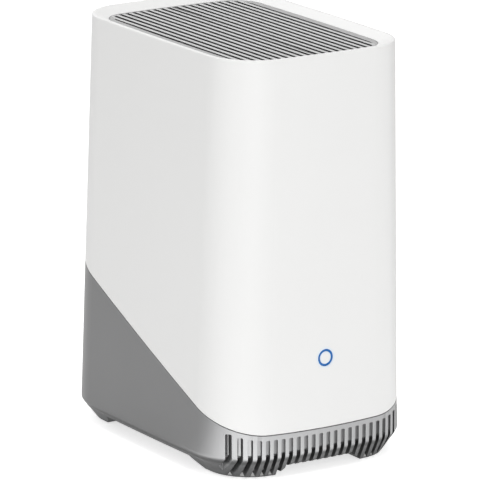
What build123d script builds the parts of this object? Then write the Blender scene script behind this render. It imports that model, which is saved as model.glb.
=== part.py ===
"""Base station for wireless security cameras.

A white sleeve with rounded corners stands on a grey lower housing. The joint between the two runs round the
body in one inclined plane, low at the front and high at the rear. The lower housing has upright grooves round
its front, a chamfered bottom and four feet. A louvred grille closes the top. Inside are a fan, a siren
speaker, two circuit boards, a heat sink and a drive that slides out of the bottom.

Millimetres, +Z up. The front looks along -Y, and the origin lies under the middle of the body, on the floor.
"""

import math
import os

from build123d import *

# Body
body_width = 110.0
body_depth = 147.0
body_height = 198.6
side_draft = 5.0
front_draft = 2.25
crease_height = 10.7
corner_radius = 26.3
top_corner_radius = 23.9
front_bulge = 3.66
side_bulge = 1.45
crease_round = 3.0
overrun = 5.0

# Bottom chamfer and feet
foot_side_inset = 9.1
foot_front_inset = 5.2
floor_corner_radius = 20.0
underside_height = 4.8
foot_width = 33.3
foot_depth = 32.8
foot_inner_round = 9.5
foot_flare = 3.5
underside_bevel = 1.6
foot_bottom = 0.9
pad_inset = 3.9
pad_sunk = 0.6

# Joint between the sleeve and the lower housing
seam_front_height = 21.48
seam_rear_height = 85.12
seam_gap = 0.4
level_tolerance = 0.04
shell_wall = 2.4
tongue_gap = 0.25
tongue_height = 3.5
chassis_wall = 4.1
floor_thickness = 2.5
cavity_side_step = 3.3
cavity_front_step = 2.1
cavity_corner_step = 4.0

# Grooves round the front
slot_pitch = 4.106
slot_width = 2.15
slot_end_margin = 5.7
groove_front_depth = 1.0
groove_side_depth = 2.3
groove_corner_step = 1.25
groove_ramp_depth = 1.0
groove_ramp_top = 12.6
groove_floor_height = 11.2
slot_top_margin = 2.4
slot_top_round = 0.6
slot_reach = 16.0
foot_slot_depth = 2.9
foot_slot_top = 4.0

# Top rim and grille
crest_width = 1.7
crest_round = 0.7
grille_drop = 2.6
lip_side_width = 7.8
lip_front_width = 9.65
grille_corner_radius = 14.0
grille_thickness = 2.6
grille_gap = 0.2
grille_flange_width = 3.0
grille_flange_thickness = 2.0
louvre_pitch = 3.99
louvre_gap = 1.75
louvre_border = 3.2
louvre_end_border = 1.5
louvre_end_radius = 11.5

# Front light
light_height = 55.1
light_radius = 4.09
light_stroke = 0.86
light_gap = 0.06
light_seat_gap = 0.2
light_flange_radius = 6.3
light_flange_thickness = 1.2
led_board_width = 25.0
led_board_height = 13.0
led_board_thickness = 1.2
led_board_stand = 3.0
led_boss_x = 9.6
led_boss_radius = 1.8
led_size = 1.6
led_height = 0.7
led_count = 4

# Screws, drawn without threads
small_shank_radius = 0.75
small_head_radius = 1.5
small_head_height = 1.0
board_shank_radius = 1.25
board_head_radius = 2.6
board_head_height = 1.7
screw_play = 0.05
screw_slot_width = 0.5
screw_slot_depth_share = 0.5
screw_fill_share = 0.75

# Inner frame: four posts and a deck for the fan
post_side_inset = 21.5
post_end_inset = 20.0
post_radius = 4.0
deck_drop = 30.6
deck_thickness = 2.5
deck_side_gap = 12.0
deck_end_gap = 5.5
deck_corner_radius = 21.0
frame_screw_length = 16.0
frame_screw_seat = 3.4
shell_boss_x = 22.0
shell_boss_inset = 8.3
shell_boss_radius = 3.0
shell_screw_length = 9.0

# Fan
fan_side_gap = 15.0
fan_height = 15.0
fan_rim = 2.0
fan_corner_radius = 4.0
fan_hole_inset = 4.25
fan_base_radius = 16.5
fan_base_thickness = 1.8
fan_strut_width = 3.2
fan_strut_count = 4
hub_radius = 17.0
hub_wall = 1.4
hub_top_drop = 1.4
hub_skirt_gap = 0.8
blade_count = 7
blade_thickness = 1.3
blade_chord = 15.0
blade_tip_gap = 1.0
blade_angle = 38.0
fan_shaft_radius = 1.5
fan_shaft_play = 0.05
bearing_radius = 3.4
bearing_height = 9.0
coil_radius = 11.5
coil_height = 5.0
coil_pole_count = 4
coil_pole_gap = 1.6

# Main board, upright across the body in front of the rear posts
board_thickness = 1.6
main_board_inset = 29.5
main_board_side_gap = 14.0
main_board_bottom = 15.0
main_board_drop = 48.6
board_boss_radius = 3.0
board_boss_inset = 8.0
board_screw_length = 6.0
processor_size = 19.0
processor_height = 1.4
processor_centre_height = 78.0
thermal_pad_thickness = 1.0
sink_width = 50.0
sink_height = 52.0
sink_base = 2.4
sink_fin_height = 10.0
sink_fin_thickness = 1.2
sink_fin_count = 11
sink_pin_radius = 1.3
sink_pin_inset = 4.5
sink_pin_head_radius = 2.4
sink_pin_head_height = 1.2
memory_width = 12.0
memory_height = 9.0
memory_thickness = 1.1
memory_pitch = 16.0
memory_count = 4
memory_centre_height = 41.0
shield_width = 18.0
shield_height = 18.0
shield_thickness = 2.8
shield_pitch = 20.5
shield_count = 3
shield_drop = 14.0
capacitor_radius = 3.15
capacitor_height = 8.0
capacitor_pitch = 8.4
capacitor_count = 5
capacitor_centre_height = 25.5
coil_block_size = 7.2
coil_block_height = 4.0
coil_block_inset = 8.0
coil_block_pitch = 11.0
coil_block_count = 3
cell_radius = 10.0
cell_thickness = 3.2
cell_centre_height = 57.5

# Rear socket panel and the board behind it
panel_width = 64.0
panel_bottom = 16.5
panel_top = 50.0
panel_thickness = 2.0
panel_setback = 5.9
window_margin = 2.2
bezel_margin = 2.4
panel_hole_play = 0.3
jack_proud = 0.4
port_board_half_width = 29.0
port_board_front_gap = 1.4
port_board_rear_gap = 0.6
port_board_height = 20.0
port_boss_x = 25.5
port_boss_front_inset = 2.8
port_boss_rear_inset = 2.5
port_boss_radius = 2.2
port_screw_length = 5.0
header_width = 30.0
header_depth = 3.4
header_height = 5.0
power_jack_x = -22.5
power_jack_width = 9.0
power_jack_height = 11.0
power_jack_depth = 14.0
power_bore_radius = 2.85
power_bore_depth = 9.5
power_pin_radius = 1.05
power_pin_length = 8.5
network_jack_x = -7.0
network_jack_width = 16.0
network_jack_height = 13.4
network_jack_depth = 16.0
network_mouth_width = 11.9
network_mouth_height = 7.0
network_mouth_bottom = 4.4
network_mouth_depth = 12.5
network_latch_width = 6.2
network_latch_height = 2.6
network_contact_count = 8
network_contact_pitch = 1.02
network_contact_width = 0.4
network_contact_height = 1.0
network_contact_length = 7.0
usb_jack_x = 11.2
usb_jack_width = 13.6
usb_jack_height = 7.0
usb_jack_depth = 14.0
usb_wall = 0.5
usb_mouth_depth = 11.5
usb_tongue_width = 10.8
usb_tongue_height = 1.9
usb_tongue_length = 9.4
usb_tongue_drop = 0.8

# Buttons
button_x = 24.4
button_board_width = 8.6
button_board_top = 44.0
button_board_thickness = 1.2
button_board_setback = 8.0
sync_height = 38.0
sync_radius = 3.6
sync_flange = 0.7
sync_flange_thickness = 0.7
sync_proud = 1.0
sync_travel = 0.9
reset_height = 27.5
reset_hole_radius = 0.9
reset_radius = 1.5
reset_thickness = 0.9
reset_travel = 0.5
button_play = 0.15
switch_size = 6.0
switch_gap = 0.3

# Siren speaker, over the front grooves
speaker_inset = 30.5
speaker_radius = 18.0
speaker_hole_radius = 15.5
speaker_flange_thickness = 1.5
speaker_basket_radius = 13.5
speaker_basket_height = 7.0
speaker_magnet_radius = 11.0
speaker_magnet_height = 6.5
speaker_cone_wall = 0.8
speaker_cone_neck_radius = 5.0
speaker_cone_gap = 0.3
bracket_height = 25.0
bracket_thickness = 2.0
bracket_half_width = 24.0
bracket_half_depth = 18.5
bracket_leg = 2.4
speaker_screw_length = 3.2
speaker_screw_spread = 16.4

# Drive, its tray, its bay and the cover below
drive_width = 70.0
drive_length = 100.2
drive_thickness = 9.5
drive_board_gap = 32.0
drive_edge_round = 1.0
tray_wall = 1.6
tray_play = 0.3
tray_back_share = 0.72
tray_sill_height = 2.2
bay_wall = 1.0
bay_play = 0.5
bay_window_share = 0.6
bay_flange = 4.0
cover_thickness = 1.5
cover_side_gap = 13.0
cover_front_reach = 28.0
cover_rear_reach = 14.0
cover_corner_radius = 5.0
cover_play = 0.3
drive_connector_width = 42.0
drive_connector_depth = 6.0
drive_connector_height = 5.0
drive_connector_gap = 0.4
drive_board_width = 60.0
drive_board_reach = 10.0
thumb_reach = 19.0
thumb_head_radius = 5.2
thumb_head_height = 2.6
thumb_shank_radius = 1.5
thumb_play = 0.08
thumb_grip_count = 16
thumb_grip_radius = 0.5
thumb_boss_radius = 4.0
thumb_boss_height = 7.0

# Aerials
aerial_width = 12.0
aerial_length = 62.0
aerial_thickness = 0.8
aerial_drop = 106.6
aerial_clip_width = 5.0
aerial_clip_height = 4.0
aerial_clip_inset = 8.0
aerial_clip_reach = 2.0

# Blank label below
label_side_gap = 4.5
label_depth_share = 0.48
label_thickness = 0.12

half_width = body_width / 2
half_depth = body_depth / 2
front_radius = (half_width**2 + front_bulge**2) / (2 * front_bulge)
side_radius = (half_depth**2 + side_bulge**2) / (2 * side_bulge)
front_centre = Vector(0, front_radius - half_depth)
side_centre = Vector(half_width - side_radius, 0)
seam_height = (seam_front_height + seam_rear_height) / 2
seam_slope = (seam_rear_height - seam_front_height) / body_depth
seam_tilt = math.atan(seam_slope)
foot_inner_x = half_width - foot_width
slot_count = 2 * round((half_width - slot_end_margin) / slot_pitch)
grille_width = body_width - 2 * (side_draft + lip_side_width)
louvre_count = round((grille_width - 2 * louvre_border) / louvre_pitch)
floor_top = underside_height + floor_thickness
grille_top = body_height - grille_drop
lip_underside = grille_top - grille_thickness
post_x = half_width - post_side_inset
post_y = half_depth - post_end_inset
deck_height = body_height - deck_drop
deck_top = deck_height + deck_thickness
shell_boss_y = half_depth - shell_boss_inset
fan_size = body_width - 2 * fan_side_gap
fan_bore_radius = fan_size / 2 - fan_rim
fan_hole_place = fan_size / 2 - fan_hole_inset
main_board_y = half_depth - main_board_inset
main_board_half_width = half_width - main_board_side_gap
main_board_top = body_height - main_board_drop
panel_outer_y = half_depth - panel_setback
port_board_front_y = main_board_y + board_thickness + port_board_front_gap
port_board_rear_y = panel_outer_y - panel_thickness - port_board_rear_gap
port_boss_y = port_board_front_y + port_boss_front_inset
port_boss_rear_y = port_board_rear_y - port_boss_rear_inset
button_board_y = panel_outer_y - button_board_setback
speaker_y = speaker_inset - half_depth
drive_y = main_board_y - drive_board_gap
cover_width = body_width - 2 * cover_side_gap
cover_front_y = drive_y - cover_front_reach
cover_rear_y = drive_y + cover_rear_reach
thumb_y = drive_y - thumb_reach
tray_bottom = underside_height + cover_thickness


def block(x_low, x_high, y_low, y_high, z_low, z_high):
    """Box between two corners."""
    middle = Pos((x_low + x_high) / 2, (y_low + y_high) / 2, (z_low + z_high) / 2)
    return middle * Box(x_high - x_low, y_high - y_low, z_high - z_low)


def rod(x, y, z_low, z_high, radius):
    """Upright cylinder."""
    return Pos(x, y, (z_low + z_high) / 2) * Cylinder(radius, z_high - z_low)


def rod_along_y(x, z, y_low, y_high, radius):
    """Cylinder that lies front to back."""
    turned = Rot(90, 0, 0) * Cylinder(radius, y_high - y_low)
    return Pos(x, (y_low + y_high) / 2, z) * turned


def merge(pieces):
    """One shape out of pieces that touch or overlap."""
    whole = pieces[0]
    for piece in pieces[1:]:
        whole = whole + piece
    return whole


def common(first, second):
    """What two solids share."""
    return merge((first & second).solids())


def group(pieces):
    """Separate solids under one name."""
    solids = [solid for piece in pieces for solid in piece.solids()]
    return Compound(children=solids)


def four(x, y):
    """The four places at plus and minus x and y."""
    return [(side_x * x, side_y * y) for side_x in (-1, 1) for side_y in (-1, 1)]


def screw(place, head_radius, head_height, shank_radius, length):
    """Cross-slotted screw: its head lies below the place and its shank runs along the place's +Z."""
    head = Cylinder(head_radius, head_height, align=(Align.CENTER, Align.CENTER, Align.MAX))
    shank = Cylinder(shank_radius, length, align=(Align.CENTER, Align.CENTER, Align.MIN))
    slot_depth = head_height * screw_slot_depth_share
    bar = Box(head_radius, screw_slot_width, slot_depth, align=(Align.CENTER, Align.CENTER, Align.MIN))
    cross = Pos(0, 0, -head_height) * (bar + Rot(0, 0, 90) * bar)
    return place * (head + shank - cross)


def small_screw(place, length):
    return screw(place, small_head_radius, small_head_height, small_shank_radius, length)


def corner_centre(side_inset, front_inset, radius):
    """Centre of the front right corner's arc, which touches the front arc and the side arc."""
    to_front = front_radius - front_inset - radius
    to_side = side_radius - side_inset - radius
    between = side_centre - front_centre
    along = (to_front**2 - to_side**2 + between.length**2) / (2 * between.length)
    across = math.sqrt(to_front**2 - along**2)
    unit = between.normalized()
    return front_centre + unit * along + Vector(-unit.Y, unit.X) * across


def outline(height, side_inset, front_inset, radius):
    """Level outline of the body: four slightly bulging sides and four corners that meet them smoothly."""
    reach_x, reach_y = half_width - side_inset, half_depth - front_inset
    centre = corner_centre(side_inset, front_inset, radius)
    front_end = front_centre + (centre - front_centre).normalized() * (front_radius - front_inset)
    side_end = side_centre + (centre - side_centre).normalized() * (side_radius - side_inset)
    outwards = (front_end - centre).normalized() + (side_end - centre).normalized()
    corner = centre + outwards.normalized() * radius
    quarter = [(0, -reach_y), (front_end.X, front_end.Y), (corner.X, corner.Y)]
    quarter += [(side_end.X, side_end.Y), (reach_x, 0)]
    right = quarter + [(x, -y) for x, y in quarter[-2::-1]]
    ring = right + [(-x, y) for x, y in right[-2:0:-1]]
    ring = ring[-1:] + ring[:-1]
    points = [Vector(x, y, height) for x, y in ring]
    arcs = []
    for start in range(0, len(points), 2):
        end = points[(start + 2) % len(points)]
        arcs.append(Edge.make_three_point_arc(points[start], points[start + 1], end))
    return Wire(arcs)


def body_outline(height, inset=0):
    """The sleeve's outline at a height: it narrows towards the top."""
    share = (height - crease_height) / (body_height - crease_height)
    side_inset = share * side_draft + inset
    front_inset = share * front_draft + inset
    radius = corner_radius + share * (top_corner_radius - corner_radius) - inset
    return outline(height, side_inset, front_inset, radius)


def floor_outline(height, inset=0):
    """The outline that the bottom chamfer runs down to."""
    return outline(height, foot_side_inset + inset, foot_front_inset + inset, floor_corner_radius - inset)


def chamfer_outline(height, inset):
    """The bottom chamfer's outline at a height."""
    share = height / crease_height
    side_inset = foot_side_inset * (1 - share) + inset
    front_inset = foot_front_inset * (1 - share) + inset
    radius = floor_corner_radius + share * (corner_radius - floor_corner_radius) - inset
    return outline(height, side_inset, front_inset, radius)


def louvre_outline(height):
    """The louvres' outline: they end nearer to the grille's edge at the front and rear than at the sides."""
    side_inset = side_draft + lip_side_width + louvre_border
    front_inset = front_draft + lip_front_width + louvre_end_border
    return outline(height, side_inset, front_inset, louvre_end_radius)


def grille_outline(height, growth=0):
    """The grille's outline, or one grown evenly from it."""
    side_inset = side_draft + lip_side_width - growth
    front_inset = front_draft + lip_front_width - growth
    return outline(height, side_inset, front_inset, grille_corner_radius + growth)


def tower(wires):
    """Solid through level outlines, with straight flanks between them."""
    return Solid.make_loft(wires, ruled=True)


def above_seam(rise):
    """Everything over the inclined joint plane, moved up by rise."""
    plane = Plane(origin=(0, 0, seam_height + rise), z_dir=(0, -math.sin(seam_tilt), math.cos(seam_tilt)))
    size = 2 * (body_height + body_depth)
    return plane * Box(size, size, size, align=(Align.CENTER, Align.CENTER, Align.MIN))


def below_seam(rise):
    """Everything under the inclined joint plane, moved up by rise."""
    plane = Plane(origin=(0, 0, seam_height + rise), z_dir=(0, -math.sin(seam_tilt), math.cos(seam_tilt)))
    size = 2 * (body_height + body_depth)
    return plane * Box(size, size, size, align=(Align.CENTER, Align.CENTER, Align.MAX))


def edges_at(shape, height):
    """The edges that lie level at a height."""
    shares = (0, 0.5, 1)
    return [edge for edge in shape.edges()
            if all(abs(edge.position_at(share).Z - height) < level_tolerance for share in shares)]


def front_y(height):
    """Where the front face's middle lies at a height, on the outside."""
    share = (height - crease_height) / (body_height - crease_height)
    return share * front_draft - half_depth


def make_outer_shell():
    """White sleeve, with its rim, the bosses that hang from the rim and those for the light's board."""
    shell = tower([body_outline(crease_height), body_outline(body_height)])
    top_hollow = [grille_outline(grille_top, grille_gap), body_outline(body_height, crest_width)]
    top_hollow.append(body_outline(body_height + overrun, crest_width))
    shell -= tower(top_hollow)
    crest = edges_at(shell, body_height)
    shell = fillet(crest, crest_round)
    grille_hole = [grille_outline(z, grille_gap) for z in (lip_underside - overrun, grille_top)]
    shell -= tower(grille_hole)
    cavity = tower([body_outline(crease_height, shell_wall), body_outline(lip_underside, shell_wall)])
    shell -= cavity
    for x, y in four(shell_boss_x, shell_boss_y):
        shell += rod(x, y, deck_top, lip_underside + shell_wall / 2, shell_boss_radius)
        pilot = small_shank_radius + screw_play
        shell -= rod(x, y, deck_top - overrun, deck_top + shell_screw_length, pilot)
    inner_y = front_y(light_height) + shell_wall
    for side in (-1, 1):
        x = side * led_boss_x
        boss_front, boss_rear = inner_y - shell_wall / 2, inner_y + led_board_stand
        shell += rod_along_y(x, light_height, boss_front, boss_rear, led_boss_radius)
        pilot = small_shank_radius + screw_play
        shell -= rod_along_y(x, light_height, inner_y, boss_rear + overrun, pilot)
    hole = light_radius + light_gap
    shell -= rod_along_y(0, light_height, front_y(0) - overrun, inner_y + overrun, hole)
    return shell - below_seam(seam_gap / 2)


def slot_centres():
    """Where the grooves and the slots of the front stand across the body."""
    return [(k - (slot_count - 1) / 2) * slot_pitch for k in range(slot_count)]


def make_chassis():
    """Grey lower housing: chamfered bottom, four feet, grooved front and a window for the sockets."""
    outer = tower([floor_outline(0), body_outline(crease_height), body_outline(body_height)])
    outer = fillet(edges_at(outer, crease_height), crease_round)
    tongue = tower([body_outline(floor_top, shell_wall + tongue_gap),
                    body_outline(body_height, shell_wall + tongue_gap)])
    chassis = outer - above_seam(-seam_gap / 2) + (tongue - above_seam(tongue_height))
    deepest = chassis_wall + cavity_side_step, chassis_wall + cavity_front_step
    hollow_corner = corner_radius - chassis_wall - cavity_corner_step
    hollow = [outline(floor_top, deepest[0], deepest[1], hollow_corner)]
    hollow += [body_outline(groove_floor_height, chassis_wall), body_outline(body_height, chassis_wall)]
    chassis -= tower(hollow)
    for cut in make_underside_cuts() + make_front_cuts():
        chassis -= cut
    chassis = add_socket_window(chassis)
    chassis = add_inner_bosses(chassis)
    return cut_drive_opening(chassis)


def foot_room(side_x, side_y, height, inset=0):
    """Level outline of a foot's inner sides at a height: it flares upwards, and runs out past the body."""
    growth = foot_flare * (2 * height / underside_height - 1) - inset
    size_x = foot_width + overrun + growth
    size_y = foot_depth + overrun + growth
    centre_x = half_width + overrun - size_x / 2
    centre_y = half_depth + overrun - size_y / 2
    face = RectangleRounded(size_x, size_y, foot_inner_round + growth)
    return (Pos(centre_x * side_x, centre_y * side_y, height) * face).wire()


def foot_prisms(inset, z_low, z_high):
    """What lies inside the edge of the four feet's soles."""
    keep = tower([floor_outline(z_low - overrun, inset), floor_outline(z_high + overrun, inset)])
    layer = block(-body_width, body_width, -body_depth, body_depth, z_low, z_high)
    prisms = []
    for side_x, side_y in four(1, 1):
        sole = extrude(make_face(foot_room(side_x, side_y, 0, inset)), z_high + overrun)
        prisms.append(common(sole & layer, keep))
    return prisms


def make_underside_cuts():
    """What is cut away below the floor, so that only the feet reach down, and the pockets for their pads."""
    size_x, size_y = body_width + overrun, body_depth + overrun
    bevel_top = underside_height + underside_bevel
    cut = block(-size_x, size_x, -size_y, size_y, -overrun, underside_height)
    rim = block(-size_x, size_x, -size_y, size_y, underside_height, bevel_top)
    rim -= tower([chamfer_outline(underside_height, underside_bevel), chamfer_outline(bevel_top, 0)])
    for side_x, side_y in four(1, 1):
        room = tower([foot_room(side_x, side_y, z) for z in (-foot_bottom, bevel_top)])
        cut -= room
        rim -= room
    below_feet = block(-size_x, size_x, -size_y, size_y, -2 * overrun, foot_bottom)
    return [cut, rim, below_feet] + foot_prisms(pad_inset, foot_bottom - overrun, foot_bottom + pad_sunk)


def face_y(x):
    """Where the front face or its corner lies, at a distance x from the middle."""
    centre = corner_centre(0, 0, corner_radius)
    corner_start = centre.X * front_radius / (front_radius - corner_radius)
    if abs(x) < corner_start:
        return front_centre.Y - math.sqrt(front_radius**2 - x**2)
    return centre.Y - math.sqrt(corner_radius**2 - (abs(x) - centre.X) ** 2)


def groove_bar(x):
    """Bar from front to back with a groove's outline; its top follows the inclined joint."""
    top = seam_height + seam_slope * face_y(x) - slot_top_margin
    height = top - crease_height
    face = RectangleRounded(slot_width, height, slot_top_round)
    return extrude(Plane.XZ * Pos(x, crease_height + height / 2) * face, body_depth)


def groove_back(height, extra=0):
    """Outline of the grooves' back at a height: they are shallow in front and deeper round the corners."""
    share = (height - crease_height) / (body_height - crease_height)
    side_inset = share * side_draft + groove_side_depth + extra
    front_inset = share * front_draft + groove_front_depth + extra
    radius = corner_radius + share * (top_corner_radius - corner_radius) - groove_corner_step - extra
    return outline(height, side_inset, front_inset, radius)


def foot_slot_back(height):
    """Outline of the slots' back in the feet: there the slots are open down to the ground."""
    return outline(height, foot_side_inset, foot_front_inset + foot_slot_depth, floor_corner_radius)


def make_front_cuts():
    """Blind grooves in the upright face, and the open slots that carry on below them down the chamfer."""
    core = tower([groove_back(groove_floor_height - overrun, groove_ramp_depth),
                  groove_back(groove_floor_height, groove_ramp_depth), groove_back(groove_ramp_top),
                  groove_back(body_height)])
    grooves = merge([groove_bar(x) for x in slot_centres()]) - core
    half = slot_width / 2
    slots = [block(x - half, x + half, -body_depth, slot_reach - half_depth, -overrun, groove_floor_height)
             for x in slot_centres()]
    wall = tower([floor_outline(foot_slot_top), floor_outline(groove_floor_height + overrun)])
    foot_wall = tower([foot_slot_back(-2 * overrun), foot_slot_back(foot_slot_top)])
    return [grooves, merge(slots) - wall - foot_wall]


def add_socket_window(chassis):
    """Flat frame inside the rear wall, and the opening that the sockets look out of."""
    half = panel_width / 2
    rear = tower([body_outline(floor_top, seam_gap), body_outline(body_height, seam_gap)])
    frame = block(-half - bezel_margin, half + bezel_margin, panel_outer_y, body_depth,
                  panel_bottom - bezel_margin, panel_top + bezel_margin)
    frame = common(frame, rear)
    opening = block(-half + window_margin, half - window_margin, panel_outer_y - overrun, body_depth,
                    panel_bottom + window_margin, panel_top - window_margin)
    pocket = block(-half - panel_hole_play, half + panel_hole_play, port_board_front_y, panel_outer_y,
                   panel_bottom - panel_hole_play, panel_top + panel_hole_play)
    return chassis + frame - opening - pocket


def add_inner_bosses(chassis):
    """Bosses for the socket board and the thumb screw, and the screw holes in the feet."""
    board_bosses = [(side * port_boss_x, y) for side in (-1, 1) for y in (port_boss_y, port_boss_rear_y)]
    for x, y in board_bosses:
        chassis += rod(x, y, floor_top - floor_thickness / 2, port_board_height, port_boss_radius)
        chassis -= rod(x, y, floor_top, port_board_height + overrun, small_shank_radius + screw_play)
    boss_top = floor_top + thumb_boss_height
    chassis += rod(0, thumb_y, floor_top - floor_thickness / 2, boss_top, thumb_boss_radius)
    for x, y in four(post_x, post_y):
        chassis -= rod(x, y, -overrun, frame_screw_seat, board_head_radius + panel_hole_play)
        chassis -= rod(x, y, -overrun, floor_top + overrun, board_shank_radius + panel_hole_play)
    return chassis


def cut_drive_opening(chassis):
    """Recess for the drive cover, the opening for the tray and the hole for the thumb screw."""
    cover_centre_y = (cover_front_y + cover_rear_y) / 2
    recess = RectangleRounded(cover_width + 2 * cover_play, cover_rear_y - cover_front_y + 2 * cover_play,
                              cover_corner_radius)
    low = underside_height - overrun
    chassis -= Pos(0, cover_centre_y, low) * extrude(recess, tray_bottom - low)
    reach_x = drive_width / 2 + tray_wall + tray_play + bay_play
    reach_y = drive_thickness / 2 + tray_wall + tray_play + bay_play
    chassis -= block(-reach_x, reach_x, drive_y - reach_y, drive_y + reach_y, low, floor_top + overrun)
    boss_top = floor_top + thumb_boss_height
    return chassis - rod(0, thumb_y, low, boss_top + overrun, thumb_shank_radius + thumb_play)


def make_foot_pads():
    """Thin rubber pads let into the feet."""
    return group(foot_prisms(pad_inset, 0, foot_bottom + pad_sunk))


def make_top_grille():
    """Grey louvred plate, with a flange that presses up under the sleeve's rim."""
    plate = tower([grille_outline(lip_underside, 0), grille_outline(grille_top, 0)])
    flange_low = lip_underside - grille_flange_thickness
    plate += tower([grille_outline(flange_low, grille_flange_width),
                    grille_outline(lip_underside, grille_flange_width)])
    for x, y in four(shell_boss_x, shell_boss_y):
        plate -= rod(x, y, flange_low - overrun, lip_underside, shell_boss_radius + panel_hole_play)
    low, high = flange_low - overrun, grille_top + overrun
    inside = tower([louvre_outline(low), louvre_outline(high)])
    for k in range(louvre_count):
        x = (k - (louvre_count - 1) / 2) * louvre_pitch
        bar = block(x - louvre_gap / 2, x + louvre_gap / 2, -half_depth, half_depth, low, high)
        plate -= common(bar, inside)
    return plate


def make_led_ring():
    """Clear ring that carries the light through the front wall, on a flange behind it."""
    outside = front_y(light_height)
    inside = outside + shell_wall + light_seat_gap
    ring = rod_along_y(0, light_height, outside, inside, light_radius)
    ring -= rod_along_y(0, light_height, outside - overrun, inside, light_radius - light_stroke)
    flange = rod_along_y(0, light_height, inside, inside + light_flange_thickness, light_flange_radius)
    return ring + flange


def make_ring_centre():
    """White disc that fills the ring."""
    outside = front_y(light_height)
    inside = outside + shell_wall + light_seat_gap
    return rod_along_y(0, light_height, outside, inside, light_radius - light_stroke - light_gap)


def led_board_front():
    """Front face of the light's board."""
    return front_y(light_height) + shell_wall + led_board_stand


def make_led_board():
    front = led_board_front()
    half = led_board_width / 2
    board = block(-half, half, front, front + led_board_thickness,
                  light_height - led_board_height / 2, light_height + led_board_height / 2)
    for side in (-1, 1):
        hole = small_shank_radius + screw_play
        board -= rod_along_y(side * led_boss_x, light_height, front - overrun, front + overrun, hole)
    return board


def make_leds():
    """Small lamps on the board, spread round behind the ring."""
    front = led_board_front()
    middle = light_radius - light_stroke / 2
    leds = []
    for k in range(led_count):
        turn = 2 * math.pi * (k + 0.5) / led_count
        x, z = middle * math.cos(turn), light_height + middle * math.sin(turn)
        leds.append(block(x - led_size / 2, x + led_size / 2, front - led_height, front,
                          z - led_size / 2, z + led_size / 2))
    return group(leds)


def make_led_board_screws():
    rear = led_board_front() + led_board_thickness
    screws = []
    for side in (-1, 1):
        place = Pos(side * led_boss_x, rear, light_height) * Rot(90, 0, 0)
        screws.append(small_screw(place, led_board_stand))
    return group(screws)


def make_inner_frame():
    """Four posts that stand on the floor, the fan's deck on top of them and the board's bosses."""
    deck_width, deck_depth = body_width - 2 * deck_side_gap, body_depth - 2 * deck_end_gap
    deck_face = RectangleRounded(deck_width, deck_depth, deck_corner_radius)
    frame = Pos(0, 0, deck_height) * extrude(deck_face, deck_thickness)
    frame -= rod(0, 0, deck_height - overrun, deck_top + overrun, fan_bore_radius)
    pilot = board_shank_radius + screw_play
    for x, y in four(post_x, post_y):
        frame += rod(x, y, floor_top, deck_height + deck_thickness / 2, post_radius)
    for side in (-1, 1):
        for z in (main_board_bottom + board_boss_inset, main_board_top - board_boss_inset):
            boss_front = main_board_y + board_thickness
            frame += rod_along_y(side * post_x, z, boss_front, post_y, board_boss_radius)
            frame -= rod_along_y(side * post_x, z, boss_front - overrun, post_y, pilot)
        frame += aerial_clips(side)
    for x, y in four(post_x, post_y):
        frame -= rod(x, y, floor_top - overrun, floor_top + frame_screw_length, pilot)
    for x, y in four(shell_boss_x, shell_boss_y):
        frame -= rod(x, y, deck_height - overrun, deck_top + overrun, small_shank_radius + panel_hole_play)
    for x, y in four(fan_hole_place, fan_hole_place):
        frame -= rod(x, y, deck_height - overrun, deck_top + overrun, pilot)
    return frame


def aerial_clips(side):
    """Two short arms on a front post that hold an aerial clear of it."""
    inner, outer = sorted((side * post_x, side * (post_x + post_radius + aerial_clip_reach)))
    arms = []
    bottom = body_height - aerial_drop
    for z in (bottom + aerial_clip_inset, bottom + aerial_length - aerial_clip_inset):
        arms.append(block(inner, outer, -post_y - aerial_clip_width / 2, -post_y + aerial_clip_width / 2,
                          z - aerial_clip_height / 2, z + aerial_clip_height / 2))
    return merge(arms)


def make_aerial(side):
    """Flat printed aerial on the outer side of a front post."""
    bottom = body_height - aerial_drop
    inner = post_x + post_radius + aerial_clip_reach
    low, high = sorted((side * inner, side * (inner + aerial_thickness)))
    half = aerial_width / 2
    return block(low, high, -post_y - half, -post_y + half, bottom, bottom + aerial_length)


def make_frame_screws():
    """Screws up through the feet into the posts, hidden by the pads."""
    length = floor_top - frame_screw_seat + frame_screw_length * screw_fill_share
    screws = []
    for x, y in four(post_x, post_y):
        screws.append(screw(Pos(x, y, frame_screw_seat), board_head_radius, board_head_height - pad_sunk,
                            board_shank_radius, length))
    return group(screws)


def make_shell_screws():
    """Screws up through the deck into the sleeve's bosses."""
    length = deck_thickness + shell_screw_length * screw_fill_share
    return group([small_screw(Pos(x, y, deck_height), length) for x, y in four(shell_boss_x, shell_boss_y)])


def make_fan_frame():
    """Square fan housing with a round bore and struts that carry the motor's base."""
    frame = Pos(0, 0, deck_top) * extrude(RectangleRounded(fan_size, fan_size, fan_corner_radius), fan_height)
    frame -= rod(0, 0, deck_top - overrun, deck_top + fan_height + overrun, fan_bore_radius)
    base_top = deck_top + fan_base_thickness
    frame += rod(0, 0, deck_top, base_top, fan_base_radius)
    reach = fan_bore_radius + screw_play
    for k in range(fan_strut_count):
        strut = block(0, reach, -fan_strut_width / 2, fan_strut_width / 2, deck_top, base_top)
        frame += Rot(0, 0, 360 * (k + 0.5) / fan_strut_count) * strut
    high = deck_top + fan_height + overrun
    for x, y in four(fan_hole_place, fan_hole_place):
        frame -= rod(x, y, deck_top - overrun, high, board_shank_radius + screw_play)
        frame -= rod(x, y, deck_top + fan_height / 2, high, board_head_radius + panel_hole_play)
    return frame


def make_fan_screws():
    length = fan_height / 2 + deck_thickness
    screws = []
    for x, y in four(fan_hole_place, fan_hole_place):
        place = Pos(x, y, deck_top + fan_height / 2) * Rot(180, 0, 0)
        screws.append(screw(place, board_head_radius, board_head_height, board_shank_radius, length))
    return group(screws)


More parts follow.
